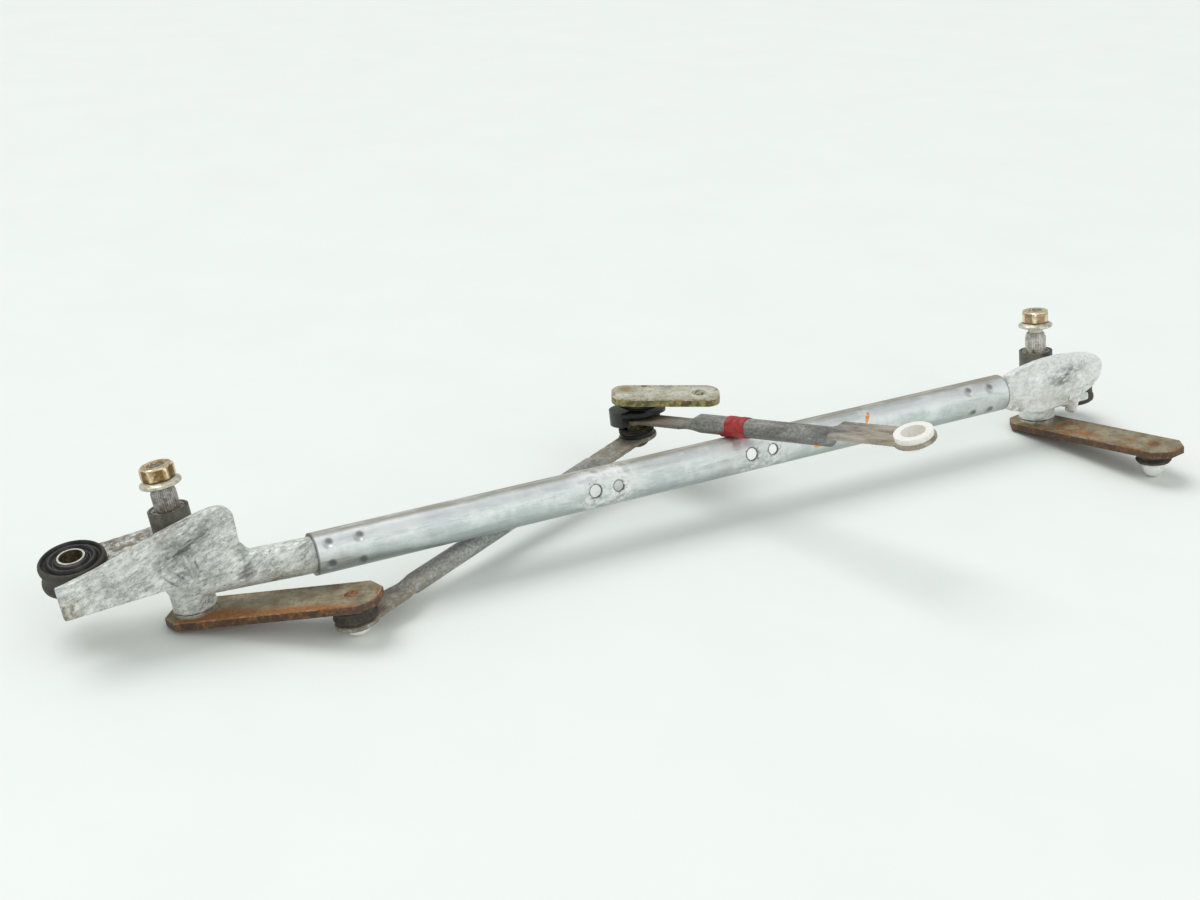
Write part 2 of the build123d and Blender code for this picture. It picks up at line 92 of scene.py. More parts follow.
jointPos = {name: Vector(joint["pos_m"]) for name, joint in joints.items()}
jointAxis = {name: Vector(joint["axis"]) for name, joint in joints.items()}
mountPos = {name: Vector(mount["pos_m"]) for name, mount in mounts.items()}
mountAxis = {name: Vector(mount["axis"]) for name, mount in mounts.items()}

crankBall = jointPos["crank_turn"]
upperBall = jointPos["right_link_swing"]
farSocket = middleOf("right_rod_outer_socket")
balls = {"left": jointPos["left_link_swing"], "right": middleOf("right_ball_stud")}
spindlePlaces, leverPlaces, leverLengths, eyePlaces = {}, {}, {}, {}
for side in sides:
    foot, axis = jointPos[side + "_spindle_turn"], jointAxis[side + "_spindle_turn"]
    spindlePlaces[side] = placeOf(foot, axis, (1, 0, 0))
    leverPlaces[side] = placeOf(foot, axis, balls[side] - foot)
    leverLengths[side] = (leverPlaces[side].inverted() @ balls[side]).x
    eyePlaces[side] = placeOf(mountPos[side + "_fixing_hole"], mountAxis[side + "_fixing_hole"], (1, 0, 0))
rodPlaces = {
    "left": placeOf(balls["left"], jointAxis["left_link_swing"], crankBall - balls["left"]),
    "right": placeOf(upperBall, jointAxis["right_link_swing"], farSocket - upperBall),
}
rodLengths = {
    "left": (crankBall - balls["left"]).length,
    "right": (rodPlaces["right"].inverted() @ farSocket).x,
}
crankPlace = placeOf(crankBall, (0, 0, 1), mountPos["motor_shaft_hole"] - crankBall)
crankLength = (crankPlace.inverted() @ mountPos["motor_shaft_hole"]).x
tubePlace = placeOf(middleOf("support_tube"), (0, 0, 1), mountPos["tube_hole_4"] - mountPos["tube_hole_1"])


# Modelling helpers

mergeDistance = 0.00001


def deselectAll():
    if bpy.context.object and bpy.context.object.mode != "OBJECT":
        bpy.ops.object.mode_set(mode="OBJECT")
    bpy.ops.object.select_all(action="DESELECT")


def pick(*pieces):
    deselectAll()
    for piece in pieces:
        piece.select_set(True)
    bpy.context.view_layer.objects.active = pieces[-1]


def editAll(piece):
    # edit mode with the whole mesh selected
    pick(piece)
    bpy.ops.object.mode_set(mode="EDIT")
    bpy.ops.mesh.select_all(action="SELECT")


def endEdit():
    bpy.ops.object.mode_set(mode="OBJECT")


def newPiece(add, name, location=(0, 0, 0), **settings):
    # what one operator adds, with nothing else selected
    deselectAll()
    add(location=location, **settings)
    piece = bpy.context.object
    piece.name = name
    return piece


def applyTransform():
    bpy.ops.object.transform_apply(location=True, rotation=True, scale=True)


def finishShape(piece, angle=35):
    # closes the mesh, turns its faces outwards and sets the shading
    editAll(piece)
    bpy.ops.mesh.remove_doubles(threshold=mergeDistance)
    bpy.ops.mesh.normals_make_consistent(inside=False)
    endEdit()
    bpy.ops.object.shade_smooth_by_angle(angle=radians(angle))


def addModifier(piece, kind, **settings):
    # adds one modifier with its settings and applies it
    pick(piece)
    modifier = piece.modifiers.new(kind.title(), kind)
    for name, value in settings.items():
        setattr(modifier, name, value)
    bpy.ops.object.modifier_apply(modifier=modifier.name)


def settle(piece, place):
    # moves a piece to its place and keeps the place in its mesh
    pick(piece)
    piece.matrix_world = place @ piece.matrix_world
    applyTransform()


def turned(name, profile, place, steps=72):
    # a ring is drawn out loop by loop through the profile's radii and heights, back to its start
    radius, height = profile[0]
    piece = newPiece(bpy.ops.mesh.primitive_circle_add, name, vertices=steps, radius=radius)
    editAll(piece)
    bpy.ops.transform.translate(value=(0, 0, height))
    for nextRadius, nextHeight in (*profile[1:], profile[0]):
        bpy.ops.mesh.extrude_edges_move(TRANSFORM_OT_translate={"value": (0, 0, nextHeight - height)})
        scale = nextRadius / radius
        bpy.ops.transform.resize(value=(scale, scale, 1))
        radius, height = nextRadius, nextHeight
    endEdit()
    finishShape(piece)
    settle(piece, place)
    return piece


def copyOf(node, name):
    # a merged copy of a CAD node, free to be reshaped
    pick(nodes[node])
    bpy.ops.object.duplicate()
    piece = bpy.context.object
    bpy.ops.object.parent_clear(type="CLEAR_KEEP_TRANSFORM")
    piece.name = name
    piece.data.materials.clear()
    editAll(piece)
    bpy.ops.mesh.remove_doubles(threshold=mergeDistance)
    endEdit()
    return piece


def melt(piece, voxel, rounds):
    # one skin with every edge rounded, as in a casting or a pressing
    addModifier(piece, "REMESH", mode="VOXEL", voxel_size=voxel, use_smooth_shade=True)
    addModifier(piece, "SMOOTH", factor=0.5, iterations=rounds)
    pick(piece)
    bpy.ops.object.shade_smooth()


def standFor(piece, body, slot, material, *replaced):
    piece.data.materials.clear()
    piece.data.materials.append(material)
    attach(piece, body)
    if replaced:
        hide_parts(*replaced)


# Shader helpers

def setSocket(tree, socket, value):
    # links a socket to another one, or gives it a value
    if isinstance(value, bpy.types.NodeSocket):
        tree.links.new(value, socket)
    elif socket.type == "RGBA":
        socket.default_value = (*value, 1.0)
    else:
        socket.default_value = value


def addNode(tree, kind, settings=None, **values):
    node = tree.nodes.new(kind)
    for name, value in (settings or {}).items():
        setattr(node, name, value)
    for name, value in values.items():
        setSocket(tree, node.inputs[name.replace("_", " ")], value)
    return node


def addMath(tree, operation, first, second=0.0, clamp=False):
    node = addNode(tree, "ShaderNodeMath", {"operation": operation, "use_clamp": clamp})
    setSocket(tree, node.inputs[0], first)
    setSocket(tree, node.inputs[1], second)
    return node.outputs[0]


def times(tree, first, second):
    return addMath(tree, "MULTIPLY", first, second)


def plus(tree, first, second, clamp=False):
    return addMath(tree, "ADD", first, second, clamp)


def minus(tree, first, second, clamp=False):
    return addMath(tree, "SUBTRACT", first, second, clamp)


def outsideOf(tree, mask):
    return minus(tree, 1.0, mask)


def joinMasks(tree, masks):
    joined = masks[0]
    for mask in masks[1:]:
        joined = addMath(tree, "MAXIMUM", joined, mask)
    return joined


def ramp(tree, value, low, high, toLow=0.0, toHigh=1.0):
    node = addNode(tree, "ShaderNodeMapRange", {"interpolation_type": "SMOOTHSTEP"}, Value=value,
                   From_Min=low, From_Max=high, To_Min=toLow, To_Max=toHigh)
    return node.outputs["Result"]


def blendColour(tree, mask, first, second):
    node = addNode(tree, "ShaderNodeMix", {"data_type": "RGBA"})
    sockets = [socket for socket in node.inputs if socket.enabled]
    for socket, value in zip(sockets, (mask, first, second)):
        setSocket(tree, socket, value)
    return [socket for socket in node.outputs if socket.enabled][0]


def cover(tree, colour, other, mask, strength=1.0):
    # the other colour laid over the first where the mask is
    return blendColour(tree, times(tree, mask, strength), colour, other)


def axesOf(tree, coords):
    return addNode(tree, "ShaderNodeSeparateXYZ", Vector=coords).outputs


def awayFromAxis(tree, coords):
    axes = axesOf(tree, coords)
    squares = plus(tree, times(tree, axes["X"], axes["X"]), times(tree, axes["Y"], axes["Y"]))
    return addMath(tree, "SQRT", squares)


def addNoise(tree, coords, scale, detail, roughness, low, high):
    # noise as a mask: 0 at low and 1 at high
    noise = addNode(tree, "ShaderNodeTexNoise", Vector=coords, Scale=scale,
                    Detail=detail, Roughness=roughness)
    return ramp(tree, noise.outputs[0], low, high)


def stretched(tree, coords, scale, turn=0, centre=(0, 0, 0)):
    # coordinates about a centre, turned about Y and scaled along their axes
    away = addNode(tree, "ShaderNodeVectorMath", {"operation": "SUBTRACT"})
    setSocket(tree, away.inputs[0], coords)
    setSocket(tree, away.inputs[1], centre)
    mapping = addNode(tree, "ShaderNodeMapping", {"vector_type": "TEXTURE"}, Vector=away.outputs[0],
                      Rotation=(0, -radians(turn), 0), Scale=scale)
    return mapping.outputs[0]


def addBump(tree, shader, height, distance, strength=1.0):
    bump = addNode(tree, "ShaderNodeBump", Height=height, Distance=distance, Strength=strength)
    tree.links.new(bump.outputs["Normal"], shader.inputs["Normal"])


def feed(tree, shader, colour, roughness=None, metallic=None):
    for label, value in (("Base Color", colour), ("Roughness", roughness), ("Metallic", metallic)):
        if value is not None:
            tree.links.new(value, shader.inputs[label])


def startMaterial(name, place=None, **fixed):
    # a new material, its shader and its coordinates, turned into the given place
    material = bpy.data.materials.new(name)
    material.use_nodes = True
    tree = material.node_tree
    shader = tree.nodes["Principled BSDF"]
    for label, value in fixed.items():
        shader.inputs[label.replace("_", " ")].default_value = value
    coords = tree.nodes.new("ShaderNodeTexCoord").outputs["Object"]
    if place:
        mapping = addNode(tree, "ShaderNodeMapping", {"vector_type": "TEXTURE"}, Vector=coords,
                          Location=place.translation, Rotation=place.to_euler())
        coords = mapping.outputs[0]
    return material, tree, shader, coords


# Node groups shared by the materials

def groupWith(name, inputs, output):
    # a group that takes a vector and the given values; 0.0 stands for a number, a tuple for a vector
    group = bpy.data.node_groups.new(name, "ShaderNodeTree")
    for label, value in (("Vector", (0, 0, 0)), *inputs.items()):
        kind = "NodeSocketVector" if isinstance(value, tuple) else "NodeSocketFloat"
        socket = group.interface.new_socket(name=label, in_out="INPUT", socket_type=kind)
        socket.default_value = value
    group.interface.new_socket(name=output, in_out="OUTPUT", socket_type="NodeSocketFloat")
    start, end = group.nodes.new("NodeGroupInput"), group.nodes.new("NodeGroupOutput")
    return group, start.outputs, end.inputs[0]


def makePatches():
    # soft blotches, 1 inside them
    group, given, result = groupWith("patches", {"Scale": 60.0, "Amount": 0.5, "Softness": 0.12}, "Mask")
    edge = outsideOf(group, given["Amount"])
    low = minus(group, edge, given["Softness"])
    high = plus(group, edge, given["Softness"])
    group.links.new(addNoise(group, given["Vector"], given["Scale"], 6.0, 0.62, low, high), result)
    return group


def makeGrain():
    # fine pitted skin of sand casting, moulded plastic or corroded zinc
    group, given, result = groupWith("grain", {"Scale": 1200.0, "Pits": 0.3}, "Height")
    noise = addNode(group, "ShaderNodeTexNoise", Vector=given["Vector"], Scale=given["Scale"],
                    Detail=4.0, Roughness=0.6)
    cells = addNode(group, "ShaderNodeTexVoronoi", Vector=given["Vector"], Scale=given["Scale"])
    pit = ramp(group, cells.outputs["Distance"], 0.0, 0.35)
    depth = times(group, minus(group, pit, 1.0), given["Pits"])
    group.links.new(plus(group, noise.outputs[0], depth), result)
    return group


def makeBorder():
    # 1 along the outline of a long plate, with a ragged inner edge
    group, given, result = groupWith(
        "border", {"Start": 0.017, "End": 0.11, "Half Width": 0.016, "Band": 0.004, "Ragged": 0.006}, "Mask")
    axes = axesOf(group, given["Vector"])
    fromStart = plus(group, axes["X"], given["Start"])
    fromEnd = minus(group, given["End"], axes["X"])
    fromSide = minus(group, given["Half Width"], addMath(group, "ABSOLUTE", axes["Y"]))
    nearest = addMath(group, "MINIMUM", addMath(group, "MINIMUM", fromStart, fromEnd), fromSide)
    noise = addNode(group, "ShaderNodeTexNoise", Vector=given["Vector"], Scale=170.0,
                    Detail=5.0, Roughness=0.65)
    shifted = minus(group, noise.outputs[0], 0.5)
    ragged = plus(group, nearest, times(group, shifted, given["Ragged"]))
    inner = times(group, given["Band"], 1.6)
    group.links.new(ramp(group, ragged, times(group, inner, 0.2), inner, 1.0, 0.0), result)
    return group


def makeSpot():
    # 1 at a point, fading to 0 at the radius
    group, given, result = groupWith("spot", {"Centre": (0, 0, 0), "Inner": 0.001, "Outer": 0.003}, "Mask")
    away = addNode(group, "ShaderNodeVectorMath", {"operation": "DISTANCE"})
    setSocket(group, away.inputs[0], given["Vector"])
    setSocket(group, away.inputs[1], given["Centre"])
    group.links.new(ramp(group, away.outputs["Value"], given["Inner"], given["Outer"], 1.0, 0.0), result)
    return group


groups = {"patches": makePatches(), "grain": makeGrain(), "border": makeBorder(), "spot": makeSpot()}


def useGroup(tree, name, coords, **values):
    return addNode(tree, "ShaderNodeGroup", {"node_tree": groups[name]}, Vector=coords, **values).outputs[0]


def patchesOn(tree, coords, scale, amount, softness):
    return useGroup(tree, "patches", coords, Scale=scale, Amount=amount, Softness=softness)


def grainOn(tree, coords, scale, pits):
    return useGroup(tree, "grain", coords, Scale=scale, Pits=pits)


def spotAt(tree, coords, centre, inner, outer):
    return useGroup(tree, "spot", coords, Centre=centre, Inner=inner, Outer=outer)


# Cast aluminium. A noise is always given as scale, detail, roughness and the range that becomes 0 to 1

castSkin = {
    "tone": (75.0, 9.0, 0.72, 0.37, 0.62), "grit": (430.0, 7.0, 0.75, 0.36, 0.58),
    "sparkle": (900.0, 4.0, 0.7, 0.52, 0.62), "stained": (60.0, 4.0, 0.6, 0.46, 0.62),
    "streak": (230.0, 8.0, 0.74, 0.50, 0.62), "ragged": (160.0, 7.0, 0.75, 0.42, 0.58),
    "broken": (210.0, 6.0, 0.72, 0.36, 0.60), "pits": (300.0, 0.33, 0.04),
    "stainedShare": 0.7, "sparklePale": 0.55, "pitDark": 0.55, "dirtCover": 0.9,
    # the crease values draw thin lines of painted shade along the ribs and the post
    "creaseWidth": 0.0011, "creaseDepth": 8.0, "creaseBroken": 0.5, "creaseWhole": 0.35,
    "smooth": 0.45, "rough": 0.7, "lumpScale": 150.0, "lumpDetail": 4.0, "ringEdge": 0.0005,
    "heights": {"grit": 0.55, "lumps": 2.6, "streak": 0.9, "pits": 0.8, "ring": 2.0}, "bump": (0.0003, 0.9),
    "left": {
        "base": (0.56, 0.58, 0.545), "pale": (0.90, 0.93, 0.885), "dark": (0.085, 0.085, 0.072),
        "dirt": (0.19, 0.14, 0.085), "metal": 0.35,
        "grainDark": 0.46, "streakTurn": 20, "stretch": 2.6, "streakDark": 0.86,
        "dirtSpots": (
            ((-0.032, 0.010, 0.043), 0.018, 0.036), ((-0.010, -0.012, 0.054), 0.004, 0.016),
            ((-0.068, -0.02, 0.03), 0.002, 0.014),
        ),
        "smear": {
            "centre": (-0.002, -0.023, 0.047), "scale": (1.0, 1.0, 0.36),
            "turn": 20, "reach": (0.010, 0.032),
        },
        "smearDark": 0.42,
        # each crease has its centre, turn and half length
        "creases": (
            ((-0.0116, -0.024, 0.0266), 39, 0.010), ((-0.0074, -0.024, 0.0304), 41, 0.010),
            ((0.0035, -0.024, 0.0330), 10, 0.007),
        ),
        "ring": ((-0.028, 0.004, 0.0445), 0.0034, 0.0052),
    },
    "right": {
        "base": (0.86, 0.89, 0.86), "pale": (0.985, 0.995, 0.975), "dark": (0.17, 0.185, 0.175),
        "dirt": (0.26, 0.20, 0.14), "metal": 0.2,
        "grainDark": 0.30, "streakTurn": 16, "stretch": 1.7, "streakDark": 0.45,
        "dirtSpots": (((-0.036, -0.02, 0.016), 0.001, 0.010),),
        "smear": {
            "centre": (0.006, -0.021, 0.034), "scale": (1.0, 1.0, 0.42),
            "turn": 14, "reach": (0.002, 0.026),
        },
        "smearDark": 0.92,
        "creases": (((0.0112, -0.022, 0.0150), -14, 0.005), ((0.0240, -0.022, 0.0165), 8, 0.006)),
        "ring": None,
    },
}


def castMaterial(side):
    skin, own = castSkin, castSkin[side]
    material, tree, shader, coords = startMaterial(
        side + "CastAluminium", spindlePlaces[side], Metallic=own["metal"])
    lines = stretched(tree, coords, (own["stretch"], 1.0, 1.0), own["streakTurn"])
    longLines = stretched(tree, coords, (own["stretch"] * 2, 1.0, 1.0), own["streakTurn"])
    grit = addNoise(tree, lines, *skin["grit"])
    pits = patchesOn(tree, coords, *skin["pits"])
    # thin dark lines, thickest in the smear across the front
    smear = own["smear"]
    area = stretched(tree, coords, smear["scale"], smear["turn"], smear["centre"])
    smeared = spotAt(tree, area, (0, 0, 0), *smear["reach"])
    stained = times(tree, addNoise(tree, coords, *skin["stained"]), skin["stainedShare"])
    streak = times(tree, addNoise(tree, longLines, *skin["streak"]), joinMasks(tree, [stained, smeared]))
    colour = blendColour(tree, addNoise(tree, coords, *skin["tone"]), own["base"], own["pale"])
    colour = cover(tree, colour, own["dark"], outsideOf(tree, grit), own["grainDark"])
    colour = cover(tree, colour, own["pale"], addNoise(tree, coords, *skin["sparkle"]), skin["sparklePale"])
    colour = cover(tree, colour, own["dark"], pits, skin["pitDark"])
    colour = cover(tree, colour, own["dark"], streak, own["streakDark"])
    ragged = addNoise(tree, lines, *skin["ragged"])
    colour = cover(tree, colour, own["dark"], times(tree, smeared, ragged), own["smearDark"])
    # painted shade in the creases beside the ribs and the post, and brown dirt where water stood
    broken = addNoise(tree, coords, *skin["broken"])
    creaseShade = plus(tree, times(tree, broken, skin["creaseBroken"]), skin["creaseWhole"])
    width = skin["creaseWidth"]
    for centre, turn, halfLength in own["creases"]:
        line = stretched(tree, coords, (1.0, skin["creaseDepth"], halfLength / width), turn, centre)
        # painted shade: a dark line along each crease
        colour = cover(tree, colour, own["dark"], spotAt(tree, line, (0, 0, 0), 0.0, width), creaseShade)
    for dirtSpot in own["dirtSpots"]:
        dirt = times(tree, spotAt(tree, coords, *dirtSpot), broken)
        colour = cover(tree, colour, own["dirt"], dirt, skin["dirtCover"])
    feed(tree, shader, colour, ramp(tree, grit, 0.0, 1.0, skin["rough"], skin["smooth"]))
    lumps = addNode(tree, "ShaderNodeTexNoise", Vector=coords, Scale=skin["lumpScale"],
                    Detail=skin["lumpDetail"])
    heights = skin["heights"]
    height = plus(tree, times(tree, grit, heights["grit"]), times(tree, lumps.outputs[0], heights["lumps"]))
    for mask, depth in ((streak, heights["streak"]), (pits, heights["pits"])):
        height = minus(tree, height, times(tree, mask, depth))
    if own["ring"]:
        centre, inner, outer = own["ring"]
        disc = spotAt(tree, coords, centre, outer - skin["ringEdge"], outer)
        core = spotAt(tree, coords, centre, inner - skin["ringEdge"], inner)
        height = plus(tree, height, times(tree, minus(tree, disc, core), heights["ring"]))
    addBump(tree, shader, height, *skin["bump"])
    return material


# Zinc of the long tube

tubeSkin = {
    "base": (0.58, 0.64, 0.63), "pale": (0.86, 0.91, 0.895), "dark": (0.15, 0.155, 0.15),
    # low is the colour of the painted shade underneath the tube
    "low": (0.29, 0.33, 0.33),
    # band is the colour of the painted highlight near the top
    "band": (0.86, 0.89, 0.89), "stain": (0.88, 0.88, 0.86), "crust": (0.10, 0.10, 0.09),
    "dirt": (0.24, 0.205, 0.15),
    "paint": (0.92, 0.34, 0.05), "metal": 0.6,
    "cloud": (46.0, 8.0, 0.7, 0.38, 0.64), "streak": (260.0, 6.0, 0.72, 0.50, 0.66),
    # rubbed is the noise that breaks up the painted highlight band
    "brushed": (900.0, 4.0, 0.7, 0.35, 0.65), "rubbed": (90.0, 5.0, 0.6, 0.30, 0.55),
    "dusty": (170.0, 7.0, 0.75, 0.26, 0.56), "bloom": (190.0, 8.0, 0.75, 0.44, 0.56),
    "crusty": (420.0, 5.0, 0.7, 0.50, 0.60), "rim": (300.0, 5.0, 0.7, 0.34, 0.50),
    "worn": (480.0, 4.0, 0.7, 0.36, 0.46), "specks": (620.0, 0.34, 0.04), "grain": (1300.0, 0.3),
    "stretch": 9.0,
    # zones by the angle round the tube, in radians up from the front: painted shade below, a band of painted
    # highlight near the top, brown dust above
    "under": (-1.0, 0.55), "highlightFrom": (0.45, 0.85), "highlightTo": (1.05, 1.35), "above": (1.12, 1.50),
    "covers": {
        "brushed": 0.22, "streak": 0.30, "under": 0.8, "band": 0.75, "above": 0.85, "specks": 0.3,
        "speckCores": 0.2,
        "bloom": 0.8, "crust": 0.55, "rim": 0.85, "shade": 0.88, "ends": 0.8,
    },
    "speckCore": (0.4, 0.9), "holes": ("tube_hole_1", "tube_hole_2", "tube_hole_3", "tube_hole_4"),
    # rimReach sets the thin ring of painted shade at each hole's edge
    "bloomReach": (0.007, 0.021), "crustReach": (0.0045, 0.0085), "rimReach": (0.0003, 0.0013),
    # dents as place along the tube and turn round it
    "dents": (
        (-0.2425, 44), (-0.2240, 44), (-0.2425, -20), (-0.2240, -30),
        (0.2163, 55), (0.2340, 52), (0.2180, -22), (0.2330, -24),
    ),
    "dentReach": (0.0004, 0.0042), "shadeReach": (0.0014, 0.0036), "shadeShift": (0.0007, 6),
    "outerR": 0.0125, "half": 0.2498, "endBand": (0.0011, 0.0003),
    # marking paint as place along the tube, turn round it, half length, half width and slant
    "strokes": (
        (0.131, 48, 0.0046, 0.0013, 56), (0.115, -12, 0.0026, 0.0013, -20), (0.0916, 8, 0.0056, 0.0030, 14),
    ),
    "strokeSize": 0.005, "strokeReach": (0.0042, 0.0056),
    "smooth": 0.34, "rough": 0.46, "dustyRough": 0.3, "grainHigh": 0.05, "bloomHigh": 0.03,
    "bump": (0.0018, 0.95),
}


def onTube(along, turn):
    r = tubeSkin["outerR"]
    return (along, -r * cos(radians(turn)), r * sin(radians(turn)))


def paintStrokes(tree, along, angle):
    # the strokes lie on the unrolled tube, so that none of them wraps
    size, outerR = tubeSkin["strokeSize"], tubeSkin["outerR"]
    unrolled = addNode(tree, "ShaderNodeCombineXYZ", X=along, Z=times(tree, angle, outerR)).outputs[0]
    strokes = []
    for place, turn, halfLength, halfWidth, slant in tubeSkin["strokes"]:
        scale = (halfLength / size, 1.0, halfWidth / size)
        area = stretched(tree, unrolled, scale, slant, (place, 0, radians(turn) * outerR))
        strokes.append(spotAt(tree, area, (0, 0, 0), *tubeSkin["strokeReach"]))
    return joinMasks(tree, strokes)


def tubeMaterial():
    skin, covers = tubeSkin, tubeSkin["covers"]
    material, tree, shader, coords = startMaterial("zincTube", tubePlace, Metallic=skin["metal"])
    axes = axesOf(tree, coords)
    lines = stretched(tree, coords, (skin["stretch"], 1.0, 1.0))
    cloud = addNoise(tree, coords, *skin["cloud"])
    brushed = addNoise(tree, lines, *skin["brushed"])
    specks = patchesOn(tree, coords, *skin["specks"])
    colour = blendColour(tree, cloud, skin["base"], skin["pale"])
    colour = cover(tree, colour, skin["pale"], brushed, covers["brushed"])
    colour = cover(tree, colour, skin["dark"], addNoise(tree, lines, *skin["streak"]), covers["streak"])
    # by the angle round the tube: painted shade underneath, a painted highlight band near the top, brown dust
    # on the back
    angle = addMath(tree, "ARCTAN2", axes["Z"], times(tree, axes["Y"], -1.0))
    # painted shade: darker underneath
    colour = cover(tree, colour, skin["low"], ramp(tree, angle, *skin["under"], 1.0, 0.0), covers["under"])
    # painted highlight: a bright band near the top, broken up by noise
    band = times(tree, ramp(tree, angle, *skin["highlightFrom"]), ramp(tree, angle, *skin["highlightTo"], 1.0, 0.0))
    band = times(tree, band, addNoise(tree, lines, *skin["rubbed"]))
    colour = cover(tree, colour, skin["band"], band, covers["band"])
    above = times(tree, ramp(tree, angle, *skin["above"]), addNoise(tree, lines, *skin["dusty"]))
    colour = cover(tree, colour, skin["dirt"], above, covers["above"])
    colour = cover(tree, colour, skin["stain"], specks, covers["specks"])
    colour = cover(tree, colour, skin["dark"], ramp(tree, specks, *skin["speckCore"]), covers["speckCores"])
    # whitish corrosion and a dark crust round the four holes, and a thin ring of painted shade at each hole's
    # edge
    wide, close, rims = [], [], []
    for hole in skin["holes"]:
        centre = tubePlace.inverted() @ mountPos[hole]
        edge = mounts[hole]["dims"]["r_mm"] / 1000
        wide.append(spotAt(tree, coords, centre, *skin["bloomReach"]))
        close.append(spotAt(tree, coords, centre, *skin["crustReach"]))
        rims.append(spotAt(tree, coords, centre, *(edge + reach for reach in skin["rimReach"])))
    bloom = times(tree, joinMasks(tree, wide), addNoise(tree, coords, *skin["bloom"]))
    colour = cover(tree, colour, skin["stain"], bloom, covers["bloom"])
    crust = times(tree, joinMasks(tree, close), addNoise(tree, coords, *skin["crusty"]))
    colour = cover(tree, colour, skin["crust"], crust, covers["crust"])
    # painted shade: a thin dark ring at each hole's edge, drawn in the crust colour
    rim = times(tree, joinMasks(tree, rims), addNoise(tree, coords, *skin["rim"]))
    colour = cover(tree, colour, skin["crust"], rim, covers["rim"])
    # staked dents near both ends, shaded on the side away from the light
    shiftAlong, shiftTurn = skin["shadeShift"]
    dents = joinMasks(tree, [
        spotAt(tree, coords, onTube(*dent), *skin["dentReach"]) for dent in skin["dents"]])
    shade = joinMasks(tree, [
        spotAt(tree, coords, onTube(along + shiftAlong, turn + shiftTurn), *skin["shadeReach"])
        for along, turn in skin["dents"]])
    colour = cover(tree, colour, skin["dark"], shade, covers["shade"])
    fromEnd = (skin["half"] - reach for reach in skin["endBand"])
    ends = ramp(tree, addMath(tree, "ABSOLUTE", axes["X"]), *fromEnd)
    colour = cover(tree, colour, skin["dark"], ends, covers["ends"])
    worn = addNoise(tree, coords, *skin["worn"])
    colour = cover(tree, colour, skin["paint"], paintStrokes(tree, axes["X"], angle), worn)
    dull = times(tree, joinMasks(tree, [bloom, above]), skin["dustyRough"])
    rough = plus(tree, ramp(tree, cloud, 0.0, 1.0, skin["smooth"], skin["rough"]), dull)
    metal = times(tree, outsideOf(tree, joinMasks(tree, [shade, bloom, above])), skin["metal"])
    feed(tree, shader, colour, rough, metal)
    raised = times(tree, plus(tree, bloom, brushed), skin["bloomHigh"])
    height = plus(tree, times(tree, grainOn(tree, coords, *skin["grain"]), skin["grainHigh"]), raised)
    addBump(tree, shader, minus(tree, height, dents), *skin["bump"])
    return material


# Rusty levers and the crank plate

plateSkin = {
    "cloud": (95.0, 7.0, 0.7, 0.38, 0.62), "grime": (380.0, 6.0, 0.75, 0.46, 0.62),
    "flakes": (260.0, 7.0, 0.75, 0.42, 0.58), "brushed": (520.0, 5.0, 0.7, 0.56, 0.68),
    "pooled": (120.0, 7.0, 0.72, 0.22, 0.46), "ringed": (330.0, 4.0, 0.7, 0.36, 0.54),
    "speck": (700.0, 5.0, 0.75, 0.44, 0.60), "blotch": (130.0, 6.0, 0.7, 0.42, 0.60),
    "worn": (150.0, 5.0, 0.7, 0.50, 0.60), "polished": (300.0, 5.0, 0.7, 0.40, 0.56), "grain": (800.0, 0.35),
    "stretch": 7.0, "edge": {"Band": 0.0024, "Ragged": 0.012}, "corner": {"Band": 0.0006, "Ragged": 0.0022},
    "wobble": 0.0070, "wobbleScale": 170.0, "wobbleDetail": 6.0, "ringSoft": 0.0012, "holeSoft": 0.0008,
    "tintSpeck": 0.5, "tintRust": 0.4, "topSoft": (0.0009, 0.0003),
    "covers": {
        "grime": 0.6, "brushed": 0.45, "hole": 0.35, "rust": 0.92, "flankDark": 0.7, "flankRust": 0.5,
        "worn": 0.35,
        "polished": 0.85, "marks": 0.9,
    },
    "polishedMetal": 0.4, "smooth": 0.44, "rough": 0.85, "rustHigh": 1.4, "plainHigh": 0.35, "flakeHigh": 0.5,
    "bump": (0.00022, 0.85),
    "lever": {
        "base": (0.235, 0.185, 0.105), "pale": (0.43, 0.375, 0.245), "dark": (0.062, 0.042, 0.028),
        "rust": (0.46, 0.175, 0.035), "deep": (0.095, 0.042, 0.020), "side": (0.135, 0.078, 0.046),
        "scratch": (0.58, 0.54, 0.42), "metal": 0.35,
    },
    "crank": {
        "base": (0.52, 0.495, 0.38), "pale": (0.78, 0.755, 0.63), "dark": (0.15, 0.125, 0.07),
        "rust": (0.38, 0.27, 0.11), "deep": (0.12, 0.10, 0.04), "side": (0.50, 0.46, 0.17),
        "scratch": (0.92, 0.90, 0.80), "metal": 0.45,
    },
}


def rustyRing(tree, coords, centre, inner, outer):
    # the ring as a mask and the disc inside it, both drawn with a wobbly outline
    skin = plateSkin
    wobble = addNode(tree, "ShaderNodeTexNoise", Vector=coords, Scale=skin["wobbleScale"],
                     Detail=skin["wobbleDetail"])
    shift = addNode(tree, "ShaderNodeVectorMath", {"operation": "MULTIPLY_ADD"})
    size = (skin["wobble"], skin["wobble"], 0.0)
    for socket, value in zip(shift.inputs, (wobble.outputs["Color"], size, coords)):
        setSocket(tree, socket, value)
    middle = Vector(centre) + Vector(size) / 2
    disc = spotAt(tree, shift.outputs[0], middle, outer - skin["ringSoft"], outer)
    hole = spotAt(tree, shift.outputs[0], middle, inner - skin["holeSoft"], inner)
    ring = minus(tree, disc, hole, clamp=True)
    return times(tree, ring, addNoise(tree, coords, *skin["ringed"])), hole


